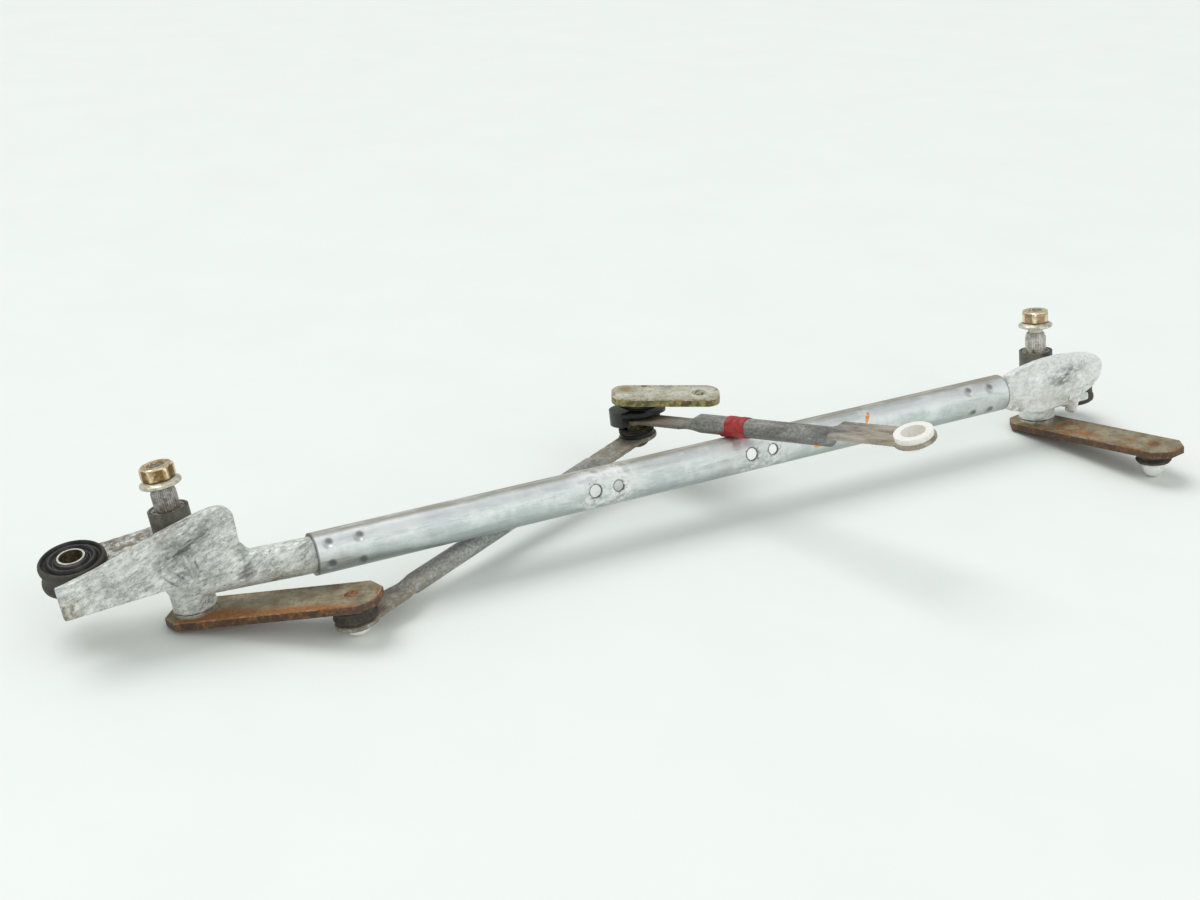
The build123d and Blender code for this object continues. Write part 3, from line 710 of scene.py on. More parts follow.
def plateMaterial(name, kind, place, outline, topZ, rings=(), pools=(), rubbed=None, mark=None):
    # rings are rusty circles, pools are graded rust, rubbed is bright metal and mark is a small dark spot
    skin, covers, own = plateSkin, plateSkin["covers"], plateSkin[kind]
    material, tree, shader, coords = startMaterial(name, place)
    lines = stretched(tree, coords, (skin["stretch"], 1.0, 1.0))
    flakes = addNoise(tree, coords, *skin["flakes"])
    colour = blendColour(tree, addNoise(tree, coords, *skin["cloud"]), own["base"], own["pale"])
    colour = cover(tree, colour, own["dark"], addNoise(tree, coords, *skin["grime"]), covers["grime"])
    colour = cover(tree, colour, own["scratch"], addNoise(tree, lines, *skin["brushed"]), covers["brushed"])
    rust = times(tree, useGroup(tree, "border", coords, **outline, **skin["edge"]), flakes)
    for centre, scale, inner, outer in pools:
        pool = spotAt(tree, stretched(tree, coords, scale, 0, centre), (0, 0, 0), inner, outer)
        rust = joinMasks(tree, [rust, times(tree, pool, addNoise(tree, lines, *skin["pooled"]))])
    for ring in rings:
        ringMask, hole = rustyRing(tree, coords, *ring)
        rust = joinMasks(tree, [rust, ringMask])
        colour = cover(tree, colour, own["pale"], hole, covers["hole"])
    speck = addNoise(tree, coords, *skin["speck"])
    reddened = plus(tree, times(tree, speck, skin["tintSpeck"]), skin["tintRust"])
    colour = cover(tree, colour, blendColour(tree, reddened, own["deep"], own["rust"]), rust, covers["rust"])
    # the flanks, below the top face
    flank = ramp(tree, axesOf(tree, coords)["Z"], *(topZ - reach for reach in skin["topSoft"]), 1.0, 0.0)
    blotch = addNoise(tree, coords, *skin["blotch"])
    flankColour = blendColour(tree, flakes, own["deep"], own["side"])
    flankColour = cover(tree, flankColour, own["dark"], outsideOf(tree, blotch), covers["flankDark"])
    flankColour = cover(tree, flankColour, own["rust"], times(tree, speck, blotch), covers["flankRust"])
    colour = blendColour(tree, flank, colour, flankColour)
    corner = useGroup(tree, "border", coords, **outline, **skin["corner"])
    worn = times(tree, times(tree, corner, addNoise(tree, coords, *skin["worn"])), outsideOf(tree, flank))
    colour = cover(tree, colour, own["scratch"], worn, covers["worn"])
    metal = times(tree, outsideOf(tree, joinMasks(tree, [rust, flank])), own["metal"])
    if rubbed:
        bright = times(tree, spotAt(tree, coords, *rubbed), addNoise(tree, coords, *skin["polished"]))
        colour = cover(tree, colour, own["scratch"], bright, covers["polished"])
        metal = plus(tree, metal, times(tree, bright, skin["polishedMetal"]), clamp=True)
    if mark:
        colour = cover(tree, colour, own["deep"], spotAt(tree, coords, *mark), covers["marks"])
    feed(tree, shader, colour, ramp(tree, rust, 0.0, 1.0, skin["smooth"], skin["rough"]), metal)
    flaky = times(tree, joinMasks(tree, [rust, flank]), skin["rustHigh"])
    grainHigh = times(tree, grainOn(tree, coords, *skin["grain"]), plus(tree, flaky, skin["plainHigh"]))
    addBump(tree, shader, plus(tree, grainHigh, times(tree, flakes, skin["flakeHigh"])), *skin["bump"])
    return material


# Push rods

rodSkin = {
    "dark": (0.085, 0.08, 0.07), "dirt": (0.30, 0.235, 0.15), "scratch": (0.62, 0.60, 0.55), "metal": 0.45,
    "cloud": (150.0, 7.0, 0.7, 0.38, 0.62), "grit": (620.0, 6.0, 0.8, 0.42, 0.58),
    "marks": (420.0, 5.0, 0.7, 0.58, 0.70), "grime": (170.0, 7.0, 0.72, 0.34, 0.58),
    "far": (150.0, 7.0, 0.72, 0.34, 0.60), "grain": (1000.0, 0.35), "stretch": 5.0,
    # under sets the painted shade along the rod's underside
    "dirtTo": 0.012, "farFrom": (0.062, 0.040), "under": (-0.010, -0.003),
    "covers": {"grit": 0.5, "marks": 0.55, "grime": 0.85, "far": 0.8, "under": 0.5},
    "smooth": 0.42, "rough": 0.78, "gritHigh": 0.8, "bump": (0.00016, 0.85),
    "left": {"base": (0.36, 0.37, 0.355), "pale": (0.62, 0.625, 0.60), "dirtFrom": 0.09, "farPale": None},
    "right": {
        "base": (0.215, 0.215, 0.20), "pale": (0.42, 0.415, 0.39), "dirtFrom": 0.060,
        "farPale": (0.56, 0.51, 0.42),
    },
}


def rodMaterial(side):
    skin, covers, own = rodSkin, rodSkin["covers"], rodSkin[side]
    length = rodLengths[side]
    material, tree, shader, coords = startMaterial(side + "RodSteel", rodPlaces[side], Metallic=skin["metal"])
    axes = axesOf(tree, coords)
    lines = stretched(tree, coords, (skin["stretch"], 1.0, 1.0))
    grit = addNoise(tree, coords, *skin["grit"])
    colour = blendColour(tree, addNoise(tree, lines, *skin["cloud"]), own["base"], own["pale"])
    colour = cover(tree, colour, skin["dark"], outsideOf(tree, grit), covers["grit"])
    colour = cover(tree, colour, skin["scratch"], addNoise(tree, lines, *skin["marks"]), covers["marks"])
    fromMiddle = addMath(tree, "ABSOLUTE", minus(tree, axes["X"], length / 2))
    ends = ramp(tree, fromMiddle, length / 2 - own["dirtFrom"], length / 2 - skin["dirtTo"])
    grime = times(tree, ends, addNoise(tree, coords, *skin["grime"]))
    colour = cover(tree, colour, skin["dirt"], grime, covers["grime"])
    if own["farPale"]:
        far = ramp(tree, axes["X"], *(length - reach for reach in skin["farFrom"]))
        far = times(tree, far, addNoise(tree, lines, *skin["far"]))
        colour = cover(tree, colour, own["farPale"], far, covers["far"])
    # painted shade: darker along the rod's underside
    under = ramp(tree, axes["Z"], *skin["under"], 1.0, 0.0)
    colour = cover(tree, colour, skin["dark"], under, covers["under"])
    feed(tree, shader, colour, ramp(tree, grime, 0.0, 1.0, skin["smooth"], skin["rough"]))
    height = plus(tree, grainOn(tree, coords, *skin["grain"]), times(tree, grit, skin["gritHigh"]))
    addBump(tree, shader, height, *skin["bump"])
    return material


# Small zinc parts, rubber and plastic

zincSkin = {
    "cloud": (230.0, 0.5, 0.15), "speckScale": 700.0, "speckSoft": 0.06, "speckCover": 0.7, "rougher": 0.3,
    "grain": (1500.0, 0.2), "bump": (0.00006, 0.7),
    "thrustZinc": {
        "base": (0.42, 0.40, 0.34), "pale": (0.70, 0.69, 0.64), "dark": (0.13, 0.11, 0.08),
        "metal": 0.7, "rough": 0.3, "dirt": 0.4,
    },
    "ringSteel": {
        "base": (0.24, 0.225, 0.19), "pale": (0.62, 0.59, 0.52), "dark": (0.05, 0.042, 0.03),
        "metal": 0.6, "rough": 0.42, "dirt": 0.42,
    },
    "bushBronze": {
        "base": (0.45, 0.33, 0.18), "pale": (0.55, 0.43, 0.27), "dark": (0.15, 0.1, 0.05),
        "metal": 0.8, "rough": 0.4, "dirt": 0.3,
    },
}


def zincMaterial(name):
    skin, own = zincSkin, zincSkin[name]
    material, tree, shader, coords = startMaterial(name, None, Metallic=own["metal"])
    specks = patchesOn(tree, coords, skin["speckScale"], own["dirt"], skin["speckSoft"])
    colour = blendColour(tree, patchesOn(tree, coords, *skin["cloud"]), own["base"], own["pale"])
    colour = cover(tree, colour, own["dark"], specks, skin["speckCover"])
    feed(tree, shader, colour, ramp(tree, specks, 0.0, 1.0, own["rough"], own["rough"] + skin["rougher"]))
    addBump(tree, shader, grainOn(tree, coords, *skin["grain"]), *skin["bump"])
    return material


mouldedSkin = {
    "cloudSoft": 0.14, "cloudCover": 0.75, "finer": 4, "fineAmount": 0.45, "fineSoft": 0.12,
    "fineCover": 0.18,
    "rougher": 0.25, "grain": (1400.0, 0.2), "bump": (0.00008, 0.7),
    "capBlack": {
        "base": (0.050, 0.050, 0.040), "worn": (0.20, 0.195, 0.15), "rough": 0.40, "wear": 0.55,
        "scale": 120.0,
    },
    "bootRubber": {
        "base": (0.036, 0.029, 0.021), "worn": (0.135, 0.108, 0.072), "rough": 0.6, "wear": 0.42,
        "scale": 300.0,
    },
    "blackSocket": {
        "base": (0.010, 0.011, 0.010), "worn": (0.045, 0.045, 0.04), "rough": 0.45, "wear": 0.35,
        "scale": 300.0,
    },
    "whiteSocket": {
        "base": (0.93, 0.92, 0.88), "worn": (0.62, 0.50, 0.35), "rough": 0.34, "wear": 0.34, "scale": 300.0,
    },
    "redTape": {
        "base": (0.42, 0.030, 0.030), "worn": (0.20, 0.018, 0.020), "rough": 0.5, "wear": 0.46,
        "scale": 300.0,
    },
}


def mouldedMaterial(name):
    skin, own = mouldedSkin, mouldedSkin[name]
    material, tree, shader, coords = startMaterial(name)
    cloud = patchesOn(tree, coords, own["scale"], own["wear"], skin["cloudSoft"])
    fine = patchesOn(tree, coords, own["scale"] * skin["finer"], skin["fineAmount"], skin["fineSoft"])
    colour = blendColour(tree, times(tree, cloud, skin["cloudCover"]), own["base"], own["worn"])
    colour = cover(tree, colour, own["worn"], fine, skin["fineCover"])
    feed(tree, shader, colour, ramp(tree, cloud, 0.0, 1.0, own["rough"], own["rough"] + skin["rougher"]))
    addBump(tree, shader, grainOn(tree, coords, *skin["grain"]), *skin["bump"])
    return material


spindleSkin = {
    "left": ((0.22, 0.205, 0.18), (0.60, 0.58, 0.55)), "right": ((0.52, 0.49, 0.42), (0.92, 0.90, 0.84)),
    "groove": (0.07, 0.06, 0.05), "rust": (0.24, 0.145, 0.06), "metal": 0.6, "teeth": 36.0,
    "tooth": (-0.8, 0.8),
    "cloud": (300.0, 7.0, 0.75, 0.40, 0.60), "blotch": (330.0, 6.0, 0.75, 0.44, 0.60),
    "grain": (1300.0, 0.25),
    "knurlFrom": 0.0004, "footFrom": 0.0005, "footTo": 0.0055, "grooveCover": 0.40, "rustCover": 0.75,
    "smooth": 0.40, "rough": 0.85, "grainHigh": 0.5, "bump": (0.00022, 0.9),
}


def spindleMaterial(side):
    # knurled cone: fine ridges along the axis with painted shade in the grooves, rust at the foot against the
    # cap
    skin, place = spindleSkin, spindlePlaces[side]
    capTop = heightsOf(side + "_retaining_ring", place)[1]
    material, tree, shader, coords = startMaterial(side + "SpindleSteel", place, Metallic=skin["metal"])
    axes = axesOf(tree, coords)
    angle = addMath(tree, "ARCTAN2", axes["Y"], axes["X"])
    ridges = ramp(tree, addMath(tree, "SINE", times(tree, angle, skin["teeth"])), *skin["tooth"])
    ridges = times(tree, ridges, ramp(tree, axes["Z"], capTop, capTop + skin["knurlFrom"]))
    colour = blendColour(tree, addNoise(tree, coords, *skin["cloud"]), *skin[side])
    # painted shade in the grooves between the ridges
    colour = cover(tree, colour, skin["groove"], outsideOf(tree, ridges), skin["grooveCover"])
    foot = ramp(tree, axes["Z"], capTop + skin["footFrom"], capTop + skin["footTo"], 1.0, 0.0)
    rust = times(tree, foot, addNoise(tree, coords, *skin["blotch"]))
    colour = cover(tree, colour, skin["rust"], rust, skin["rustCover"])
    feed(tree, shader, colour, ramp(tree, rust, 0.0, 1.0, skin["smooth"], skin["rough"]))
    height = plus(tree, times(tree, grainOn(tree, coords, *skin["grain"]), skin["grainHigh"]), ridges)
    addBump(tree, shader, height, *skin["bump"])
    return material


rubberSkin = {
    "base": (0.012, 0.012, 0.013), "worn": (0.034, 0.032, 0.028), "chalk": (0.085, 0.078, 0.058),
    "chalkCover": 0.8,
    "cloud": (190.0, 7.0, 0.75, 0.40, 0.62), "lip": (260.0, 7.0, 0.75, 0.32, 0.56), "lipR": (0.0166, 0.0182),
    "smooth": 0.42, "rough": 0.8, "grain": (900.0, 0.3), "bump": (0.0002, 0.8),
}


def rubberMaterial(side):
    # black rubber, chalky and brown on its outer lip
    skin = rubberSkin
    material, tree, shader, coords = startMaterial(side + "GrommetRubber", eyePlaces[side], Metallic=0.0)
    colour = blendColour(tree, addNoise(tree, coords, *skin["cloud"]), skin["base"], skin["worn"])
    lip = ramp(tree, awayFromAxis(tree, coords), *skin["lipR"])
    lip = times(tree, lip, addNoise(tree, coords, *skin["lip"]))
    colour = cover(tree, colour, skin["chalk"], lip, skin["chalkCover"])
    feed(tree, shader, colour, ramp(tree, lip, 0.0, 1.0, skin["smooth"], skin["rough"]))
    addBump(tree, shader, plus(tree, grainOn(tree, coords, *skin["grain"]), lip), *skin["bump"])
    return material


sleeveSkin = {
    "base": (0.62, 0.59, 0.50), "pale": (0.88, 0.86, 0.79), "boreDark": (0.050, 0.036, 0.018),
    "borePale": (0.15, 0.115, 0.06), "cloud": (300.0, 6.0, 0.72, 0.40, 0.62), "boreR": (0.00665, 0.00685),
    "rough": (0.28, 0.8), "metal": (0.75, 0.1), "grain": (1200.0, 0.3), "bump": (0.0001, 0.8),
}


def sleeveMaterial(side):
    # bright rim, brown bore
    skin = sleeveSkin
    material, tree, shader, coords = startMaterial(side + "SleeveZinc", eyePlaces[side])
    cloud = addNoise(tree, coords, *skin["cloud"])
    bore = ramp(tree, awayFromAxis(tree, coords), *skin["boreR"], 1.0, 0.0)
    brown = blendColour(tree, cloud, skin["boreDark"], skin["borePale"])
    colour = blendColour(tree, bore, blendColour(tree, cloud, skin["base"], skin["pale"]), brown)
    feed(tree, shader, colour, ramp(tree, bore, 0.0, 1.0, *skin["rough"]),
         ramp(tree, bore, 0.0, 1.0, *skin["metal"]))
    addBump(tree, shader, grainOn(tree, coords, *skin["grain"]), *skin["bump"])
    return material


nutSkin = {
    "left": {
        "turn": -8, "base": (0.50, 0.34, 0.16), "pale": (0.84, 0.68, 0.42), "facet": (0.17, 0.085, 0.025),
        "facetDark": 0.9,
    },
    "right": {
        "turn": -14, "base": (0.66, 0.54, 0.32), "pale": (0.95, 0.86, 0.64), "facet": (0.36, 0.19, 0.11),
        "facetDark": 0.8,
    },
    # edge is the bright colour of worn plating, also used as a painted highlight
    "edge": (1.0, 0.90, 0.62), "dirt": (0.10, 0.07, 0.025), "metal": 0.8, "flatR": (0.0083, 0.0085),
    "cloud": (210.0, 6.0, 0.7, 0.40, 0.60), "stain": (150.0, 6.0, 0.72, 0.26, 0.50),
    "worn": (330.0, 5.0, 0.7, 0.34, 0.50), "foot": (380.0, 5.0, 0.7, 0.34, 0.52),
    "specks": (620.0, 5.0, 0.75, 0.58, 0.68), "grain": (900.0, 0.3),
    "flatMiddle": (0.30, 0.75), "flatEdge": (0.08, 0.22), "upper": (0.0013, 0.0009), "footTo": 0.0009,
    "wearAndHighlightCover": 0.8, "dirtCover": 0.7, "smooth": 0.24, "rough": 0.5, "bump": (0.0001, 0.8),
}


def nutMaterial(side):
    # yellow plating, brown in the middle of each flat and bright along its edges and top, partly wear and
    # partly painted highlight
    skin, own, place = nutSkin, nutSkin[side], spindlePlaces[side]
    low, high = heightsOf(side + "_arm_nut", place)
    material, tree, shader, coords = startMaterial(side + "NutZinc", place, Metallic=skin["metal"])
    axes = axesOf(tree, coords)
    angle = minus(tree, addMath(tree, "ARCTAN2", axes["Y"], axes["X"]), radians(own["turn"]))
    facet = addMath(tree, "ABSOLUTE", addMath(tree, "SINE", times(tree, angle, 3.0)))
    outside = ramp(tree, awayFromAxis(tree, coords), *skin["flatR"])
    colour = blendColour(tree, addNoise(tree, coords, *skin["cloud"]), own["base"], own["pale"])
    stain = times(tree, ramp(tree, facet, *skin["flatMiddle"]), outside)
    stain = times(tree, stain, addNoise(tree, coords, *skin["stain"]))
    colour = cover(tree, colour, own["facet"], stain, own["facetDark"])
    # the bright flat edges and top are partly wear and partly painted highlight
    upper = ramp(tree, axes["Z"], *(high - reach for reach in skin["upper"]))
    worn = joinMasks(tree, [ramp(tree, facet, *skin["flatEdge"], 1.0, 0.0), upper])
    worn = times(tree, times(tree, worn, outside), addNoise(tree, coords, *skin["worn"]))
    colour = cover(tree, colour, skin["edge"], worn, skin["wearAndHighlightCover"])
    foot = ramp(tree, axes["Z"], low, low + skin["footTo"], 1.0, 0.0)
    foot = times(tree, foot, addNoise(tree, coords, *skin["foot"]))
    dirt = joinMasks(tree, [foot, addNoise(tree, coords, *skin["specks"])])
    colour = cover(tree, colour, skin["dirt"], dirt, skin["dirtCover"])
    feed(tree, shader, colour, ramp(tree, stain, 0.0, 1.0, skin["smooth"], skin["rough"]))
    addBump(tree, shader, grainOn(tree, coords, *skin["grain"]), *skin["bump"])
    return material


studSkin = {
    "ball": (0.90, 0.90, 0.87), "ballStain": (0.55, 0.50, 0.42), "rustDark": (0.055, 0.032, 0.020),
    "rust": (0.30, 0.15, 0.06), "blotch": (420.0, 6.0, 0.75, 0.40, 0.60),
    "stains": (260.0, 6.0, 0.7, 0.60, 0.74),
    "headFrom": (-0.0095, -0.0085), "rough": (0.22, 0.75), "metal": (0.4, 0.15), "crown": (0.0022, 0.0038),
    "blotchHigh": 0.3, "bump": (0.0004, 0.9),
}
leverTopZ = -0.0022


def studMaterial(side):
    # bright ball below, rusty rivet head level with the lever's top
    skin = studSkin
    material, tree, shader, coords = startMaterial(side + "StudSteel", leverPlaces[side])
    head = ramp(tree, axesOf(tree, coords)["Z"], *skin["headFrom"])
    blotch = addNoise(tree, coords, *skin["blotch"])
    rusty = blendColour(tree, blotch, skin["rustDark"], skin["rust"])
    ball = blendColour(tree, addNoise(tree, coords, *skin["stains"]), skin["ball"], skin["ballStain"])
    colour = blendColour(tree, head, ball, rusty)
    feed(tree, shader, colour, ramp(tree, head, 0.0, 1.0, *skin["rough"]),
         ramp(tree, head, 0.0, 1.0, *skin["metal"]))
    crown = spotAt(tree, coords, (leverLengths[side], 0, leverTopZ), *skin["crown"])
    addBump(tree, shader, plus(tree, crown, times(tree, blotch, skin["blotchHigh"])), *skin["bump"])
    return material


# Pools have a centre, a scale along each axis and two radii, rings a centre and two radii

leverSkin = {
    "halfWidth": 0.016,
    "left": {
        "end": 0.017, "ballRing": (0.0042, 0.0062), "rings": (),
        "pools": (
            ((0.020, -0.015, leverTopZ), (2.6, 1.0, 1.0), 0.006, 0.017),
            ((0.060, -0.0165, leverTopZ), (4.6, 1.0, 1.0), 0.004, 0.011),
        ),
    },
    "right": {
        "end": 0.0186, "ballRing": (0.0040, 0.0060), "rings": (((0.031, -0.001, leverTopZ), 0.0058, 0.0112),),
        "pools": (
            ((0.048, -0.008, leverTopZ), (3.0, 1.0, 1.0), 0.0, 0.008),
            ((0.078, -0.002, leverTopZ), (2.0, 1.0, 1.0), 0.0, 0.006),
        ),
    },
}


def leverMaterial(side):
    own, length = leverSkin[side], leverLengths[side]
    outline = {"Start": own["end"], "End": length + own["end"], "Half_Width": leverSkin["halfWidth"]}
    rings = (*own["rings"], ((length, 0, leverTopZ), *own["ballRing"]))
    return plateMaterial(
        side + "LeverZinc", "lever", leverPlaces[side], outline, leverTopZ, rings, own["pools"])


casts = {side: castMaterial(side) for side in sides}
leverZincs = {side: leverMaterial(side) for side in sides}
rodSteels = {side: rodMaterial(side) for side in sides}
spindleSteels = {side: spindleMaterial(side) for side in sides}
rubbers = {side: rubberMaterial(side) for side in sides}
sleeves = {side: sleeveMaterial(side) for side in sides}
nutZincs = {side: nutMaterial(side) for side in sides}
studs = {side: studMaterial(side) for side in sides}
zincTube = tubeMaterial()
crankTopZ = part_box("crank_plate")[1][2] - crankPlace.translation.z
crankSkin = {
    "outline": {"Start": 0.0175, "End": crankLength + 0.0138, "Half_Width": 0.013},
    "pools": (((-0.008, 0.006, crankTopZ), (1.0, 1.0, 1.0), 0.001, 0.010),),
    "rubbed": ((0.041, 0, crankTopZ), 0.0062, 0.0105), "mark": ((0.0046, 0.0112, crankTopZ), 0.0016, 0.0026),
}
crankZinc = plateMaterial(
    "crankZinc", "crank", crankPlace, crankSkin["outline"], crankTopZ, pools=crankSkin["pools"],
    rubbed=crankSkin["rubbed"], mark=crankSkin["mark"])
thrustZinc, ringSteel, bushBronze = (
    zincMaterial(name) for name in ("thrustZinc", "ringSteel", "bushBronze"))
capBlack, bootRubber, blackSocket, whiteSocket, redTape = (
    mouldedMaterial(name) for name in ("capBlack", "bootRubber", "blackSocket", "whiteSocket", "redTape"))


def dress(node, material):
    mesh = nodes[node].data
    mesh.materials.clear()
    mesh.materials.append(material)


for side in sides:
    for part, material in (
            ("pivot_housing", casts[side]), ("spindle", spindleSteels[side]), ("lever", leverZincs[side]),
            ("arm_nut", nutZincs[side]), ("thrust_washer", thrustZinc), ("retaining_ring", ringSteel),
            ("lower_bush", bushBronze), ("upper_bush", bushBronze), ("dust_cap", capBlack),
            ("grommet", rubbers[side]), ("grommet_sleeve", sleeves[side]), ("ball_stud", studs[side]),
            ("ball_boot", bootRubber), ("rod", rodSteels[side]), ("rod_outer_socket", whiteSocket),
            ("rod_inner_socket", blackSocket)):
        dress(side + "_" + part, material)
for node, material in (
        ("support_tube", zincTube), ("lower_crank_boot", bootRubber), ("upper_crank_boot", blackSocket),
        ("crank_plate", crankZinc), ("crank_ball_stud", crankZinc), ("marker_tape", redTape)):
    dress(node, material)
print("materials made:", len(bpy.data.materials))


# Castings: each lump is given as centre, radii and turns about X and Y

castShape = {
    "voxel": 0.0008, "segments": 32, "rings": 16,
    "left": {
        "rounds": 8,
        # two ribs down the barrel's flare, the fillets under the arm and the long swell under the ridge
        "lumps": (
            ((-0.0095, -0.0218, 0.0285), (0.0024, 0.0056, 0.0125), (12, -41)),
            ((-0.0005, -0.0232, 0.0325), (0.0021, 0.0046, 0.0100), (6, -12)),
            ((0.0150, -0.0112, 0.0165), (0.0070, 0.0075, 0.0065), (0, 0)),
            ((0.0285, -0.0115, 0.0325), (0.0105, 0.0075, 0.0028), (0, 52)),
            ((-0.0300, -0.0212, 0.0420), (0.0320, 0.0036, 0.0034), (0, -13)),
            ((0.0040, -0.0205, 0.0490), (0.0240, 0.0040, 0.0042), (0, -12)),
        ),
    },
    "right": {
        "rounds": 26,
        # swollen front, shoulder at the tube and the post
        "lumps": (
            ((0.0060, -0.0165, 0.0310), (0.0400, 0.0085, 0.0165), (0, -4)),
            ((0.0240, -0.0165, 0.0330), (0.0200, 0.0080, 0.0130), (0, 10)),
            ((-0.0250, -0.0130, 0.0280), (0.0210, 0.0110, 0.0150), (0, 0)),
            ((0.0186, -0.0162, 0.0140), (0.0046, 0.0050, 0.0120), (0, 0)),
        ),
    },
}
# radii and heights of the left barrel's mouth, and the plane where it is cut off behind
trumpetShape = {
    "profile": (
        (0.0100, 0.0040), (0.0124, 0.0050), (0.0130, 0.0080), (0.0137, 0.0120), (0.0152, 0.0165),
        (0.0180, 0.0210), (0.0215, 0.0250), (0.0240, 0.0290), (0.0250, 0.0330), (0.0243, 0.0370),
        (0.0220, 0.0400), (0.0100, 0.0400),
    ),
    "steps": 64, "back": -0.004,
}


def ballShape(name, centre, radii, turns):
    # a rounded lump, stretched and turned, to be joined into a casting
    lump = newPiece(bpy.ops.mesh.primitive_uv_sphere_add, name, segments=castShape["segments"],
                    ring_count=castShape["rings"], radius=1.0)
    lump.scale = radii
    lump.rotation_euler = (radians(turns[0]), radians(turns[1]), 0)
    lump.location = centre
    applyTransform()
    return lump


def makeTrumpet():
    # the barrel's mouth opens into the wall; only its front half is kept
    trumpet = turned("barrel_trumpet", trumpetShape["profile"], Matrix(), trumpetShape["steps"])
    editAll(trumpet)
    bpy.ops.mesh.bisect(
        plane_co=(0, trumpetShape["back"], 0), plane_no=(0, 1, 0), use_fill=True, clear_outer=True)
    endEdit()
    return trumpet


def casting(side):
    # the CAD casting with its lumps and ribs melted into one skin, as poured metal
    piece = copyOf(side + "_pivot_housing", side + "_casting")
    parts = [
        ballShape(side + "_lump_" + str(number), *lump)
        for number, lump in enumerate(castShape[side]["lumps"])]
    if side == "left":
        parts.append(makeTrumpet())
    for part in parts:
        settle(part, spindlePlaces[side])
    pick(*parts, piece)
    bpy.ops.object.join()
    melt(piece, castShape["voxel"], castShape[side]["rounds"])
    return piece


for side in sides:
    standFor(casting(side), "frame", "cast_housing", casts[side], side + "_pivot_housing")
print("castings made")


# Push rods, rounded over like pressings

rodShape = {"voxel": 0.0006, "rounds": 7}
for side in sides:
    pressed = copyOf(side + "_rod", side + "_pressed_rod")
    melt(pressed, rodShape["voxel"], rodShape["rounds"])
    standFor(pressed, side + "_link", "rod_steel", rodSteels[side], side + "_rod")
print("rods made")


# Washers, domed above and hollow below. A profile is given as radii and heights, here over the rim

washerShape = {
    "profile": (
        (0.0051, 0.0004), (0.0086, 0.0001), (0.0104, -0.0004), (0.0111, -0.0006), (0.0117, -0.0003),
        (0.0119, 0.0003), (0.0117, 0.0009), (0.0111, 0.0014), (0.0102, 0.0019), (0.0094, 0.0024),
        (0.0088, 0.0027), (0.0084, 0.0029), (0.0074, 0.0029), (0.0051, 0.0029),
    ),
    "rimDrop": 0.0005,
}
washerSkin = {
    "base": (0.52, 0.48, 0.36), "pale": (0.86, 0.83, 0.70), "belowDark": (0.07, 0.06, 0.045),
    "jointDark": (0.08, 0.065, 0.04), "cloud": (260.0, 7.0, 0.72, 0.38, 0.62), "metal": 0.55,
    "below": (-0.0004, 0.0001), "joint": (0.0024, 0.0028), "belowCover": 0.85, "jointCover": 0.7,
    "rough": (0.5, 0.34), "grain": (1300.0, 0.3), "bump": (0.0001, 0.8),
}


def washerMaterial(side, low):
    # pale plating above, darker below the rim
    skin = washerSkin
    material, tree, shader, coords = startMaterial(
        side + "WasherZinc", spindlePlaces[side], Metallic=skin["metal"])
    height = axesOf(tree, coords)["Z"]
    cloud = addNoise(tree, coords, *skin["cloud"])
    colour = blendColour(tree, cloud, skin["base"], skin["pale"])
    below = ramp(tree, height, *(low + reach for reach in skin["below"]), 1.0, 0.0)
    colour = cover(tree, colour, skin["belowDark"], below, skin["belowCover"])
    joint = ramp(tree, height, *(low + reach for reach in skin["joint"]))
    colour = cover(tree, colour, skin["jointDark"], joint, skin["jointCover"])
    feed(tree, shader, colour, ramp(tree, cloud, 0.0, 1.0, *skin["rough"]))
    addBump(tree, shader, grainOn(tree, coords, *skin["grain"]), *skin["bump"])
    return material


for side in sides:
    node = side + "_conical_washer"
    low = heightsOf(node, spindlePlaces[side])[0] + washerShape["rimDrop"]
    place = spindlePlaces[side] @ Matrix.Translation((0, 0, low))
    dome = turned(side + "_washer_dome", washerShape["profile"], place)
    washerZinc = washerMaterial(side, low)
    dress(node, washerZinc)
    standFor(dome, side + "_arm", "washer_zinc", washerZinc, node)
print("washers made")


# Nuts with their edges eased

nutShape = {"bevel": 0.00022, "segments": 2, "from": 25, "flat": 1.0, "smooth": 40}
for side in sides:
    hexagon = copyOf(side + "_arm_nut", side + "_eased_nut")
    editAll(hexagon)
    bpy.ops.mesh.dissolve_limited(angle_limit=radians(nutShape["flat"]))
    endEdit()
    addModifier(hexagon, "BEVEL", width=nutShape["bevel"], segments=nutShape["segments"],
                limit_method="ANGLE", angle_limit=radians(nutShape["from"]))
    finishShape(hexagon, nutShape["smooth"])
    standFor(hexagon, side + "_arm", "nut_zinc", nutZincs[side], side + "_arm_nut")
print("nuts eased")


# Tape wound on the right rod, creased, with one loose end

tapeShape = {
    "inner": 0.0062, "outer": 0.00678, "half": 0.0078, "loops": 14, "steps": 96, "crease": 0.0008,
    "creaseSize": 0.0045, "creaseDetail": 3, "flapLength": 0.0060, "flapWidth": 0.0042,
    "flapThickness": 0.0004,
    "flapCells": (12, 8), "flapTurn": 132, "flapBend": 50,
}
tapePlace = placeOf(
    middleOf("marker_tape"), rodPlaces["right"].col[0].to_3d(), rodPlaces["right"].col[2].to_3d())


def creased(piece, size):
    creases = bpy.data.textures.new(piece.name + "_creases", "CLOUDS")
    creases.noise_scale = size
    creases.noise_depth = tapeShape["creaseDetail"]
    addModifier(piece, "DISPLACE", texture=creases, strength=tapeShape["crease"], mid_level=0.5,
                texture_coords="LOCAL")


def makeTape():
    inner, outer, half, loops = (tapeShape[name] for name in ("inner", "outer", "half", "loops"))
    profile = [(outer, -half + 2 * half * number / loops) for number in range(loops + 1)]
    band = turned("tape_band", profile + [(inner, half), (inner, -half)], tapePlace, tapeShape["steps"])
    creased(band, tapeShape["creaseSize"])
    standFor(band, "right_link", "tape_red", redTape, "marker_tape")


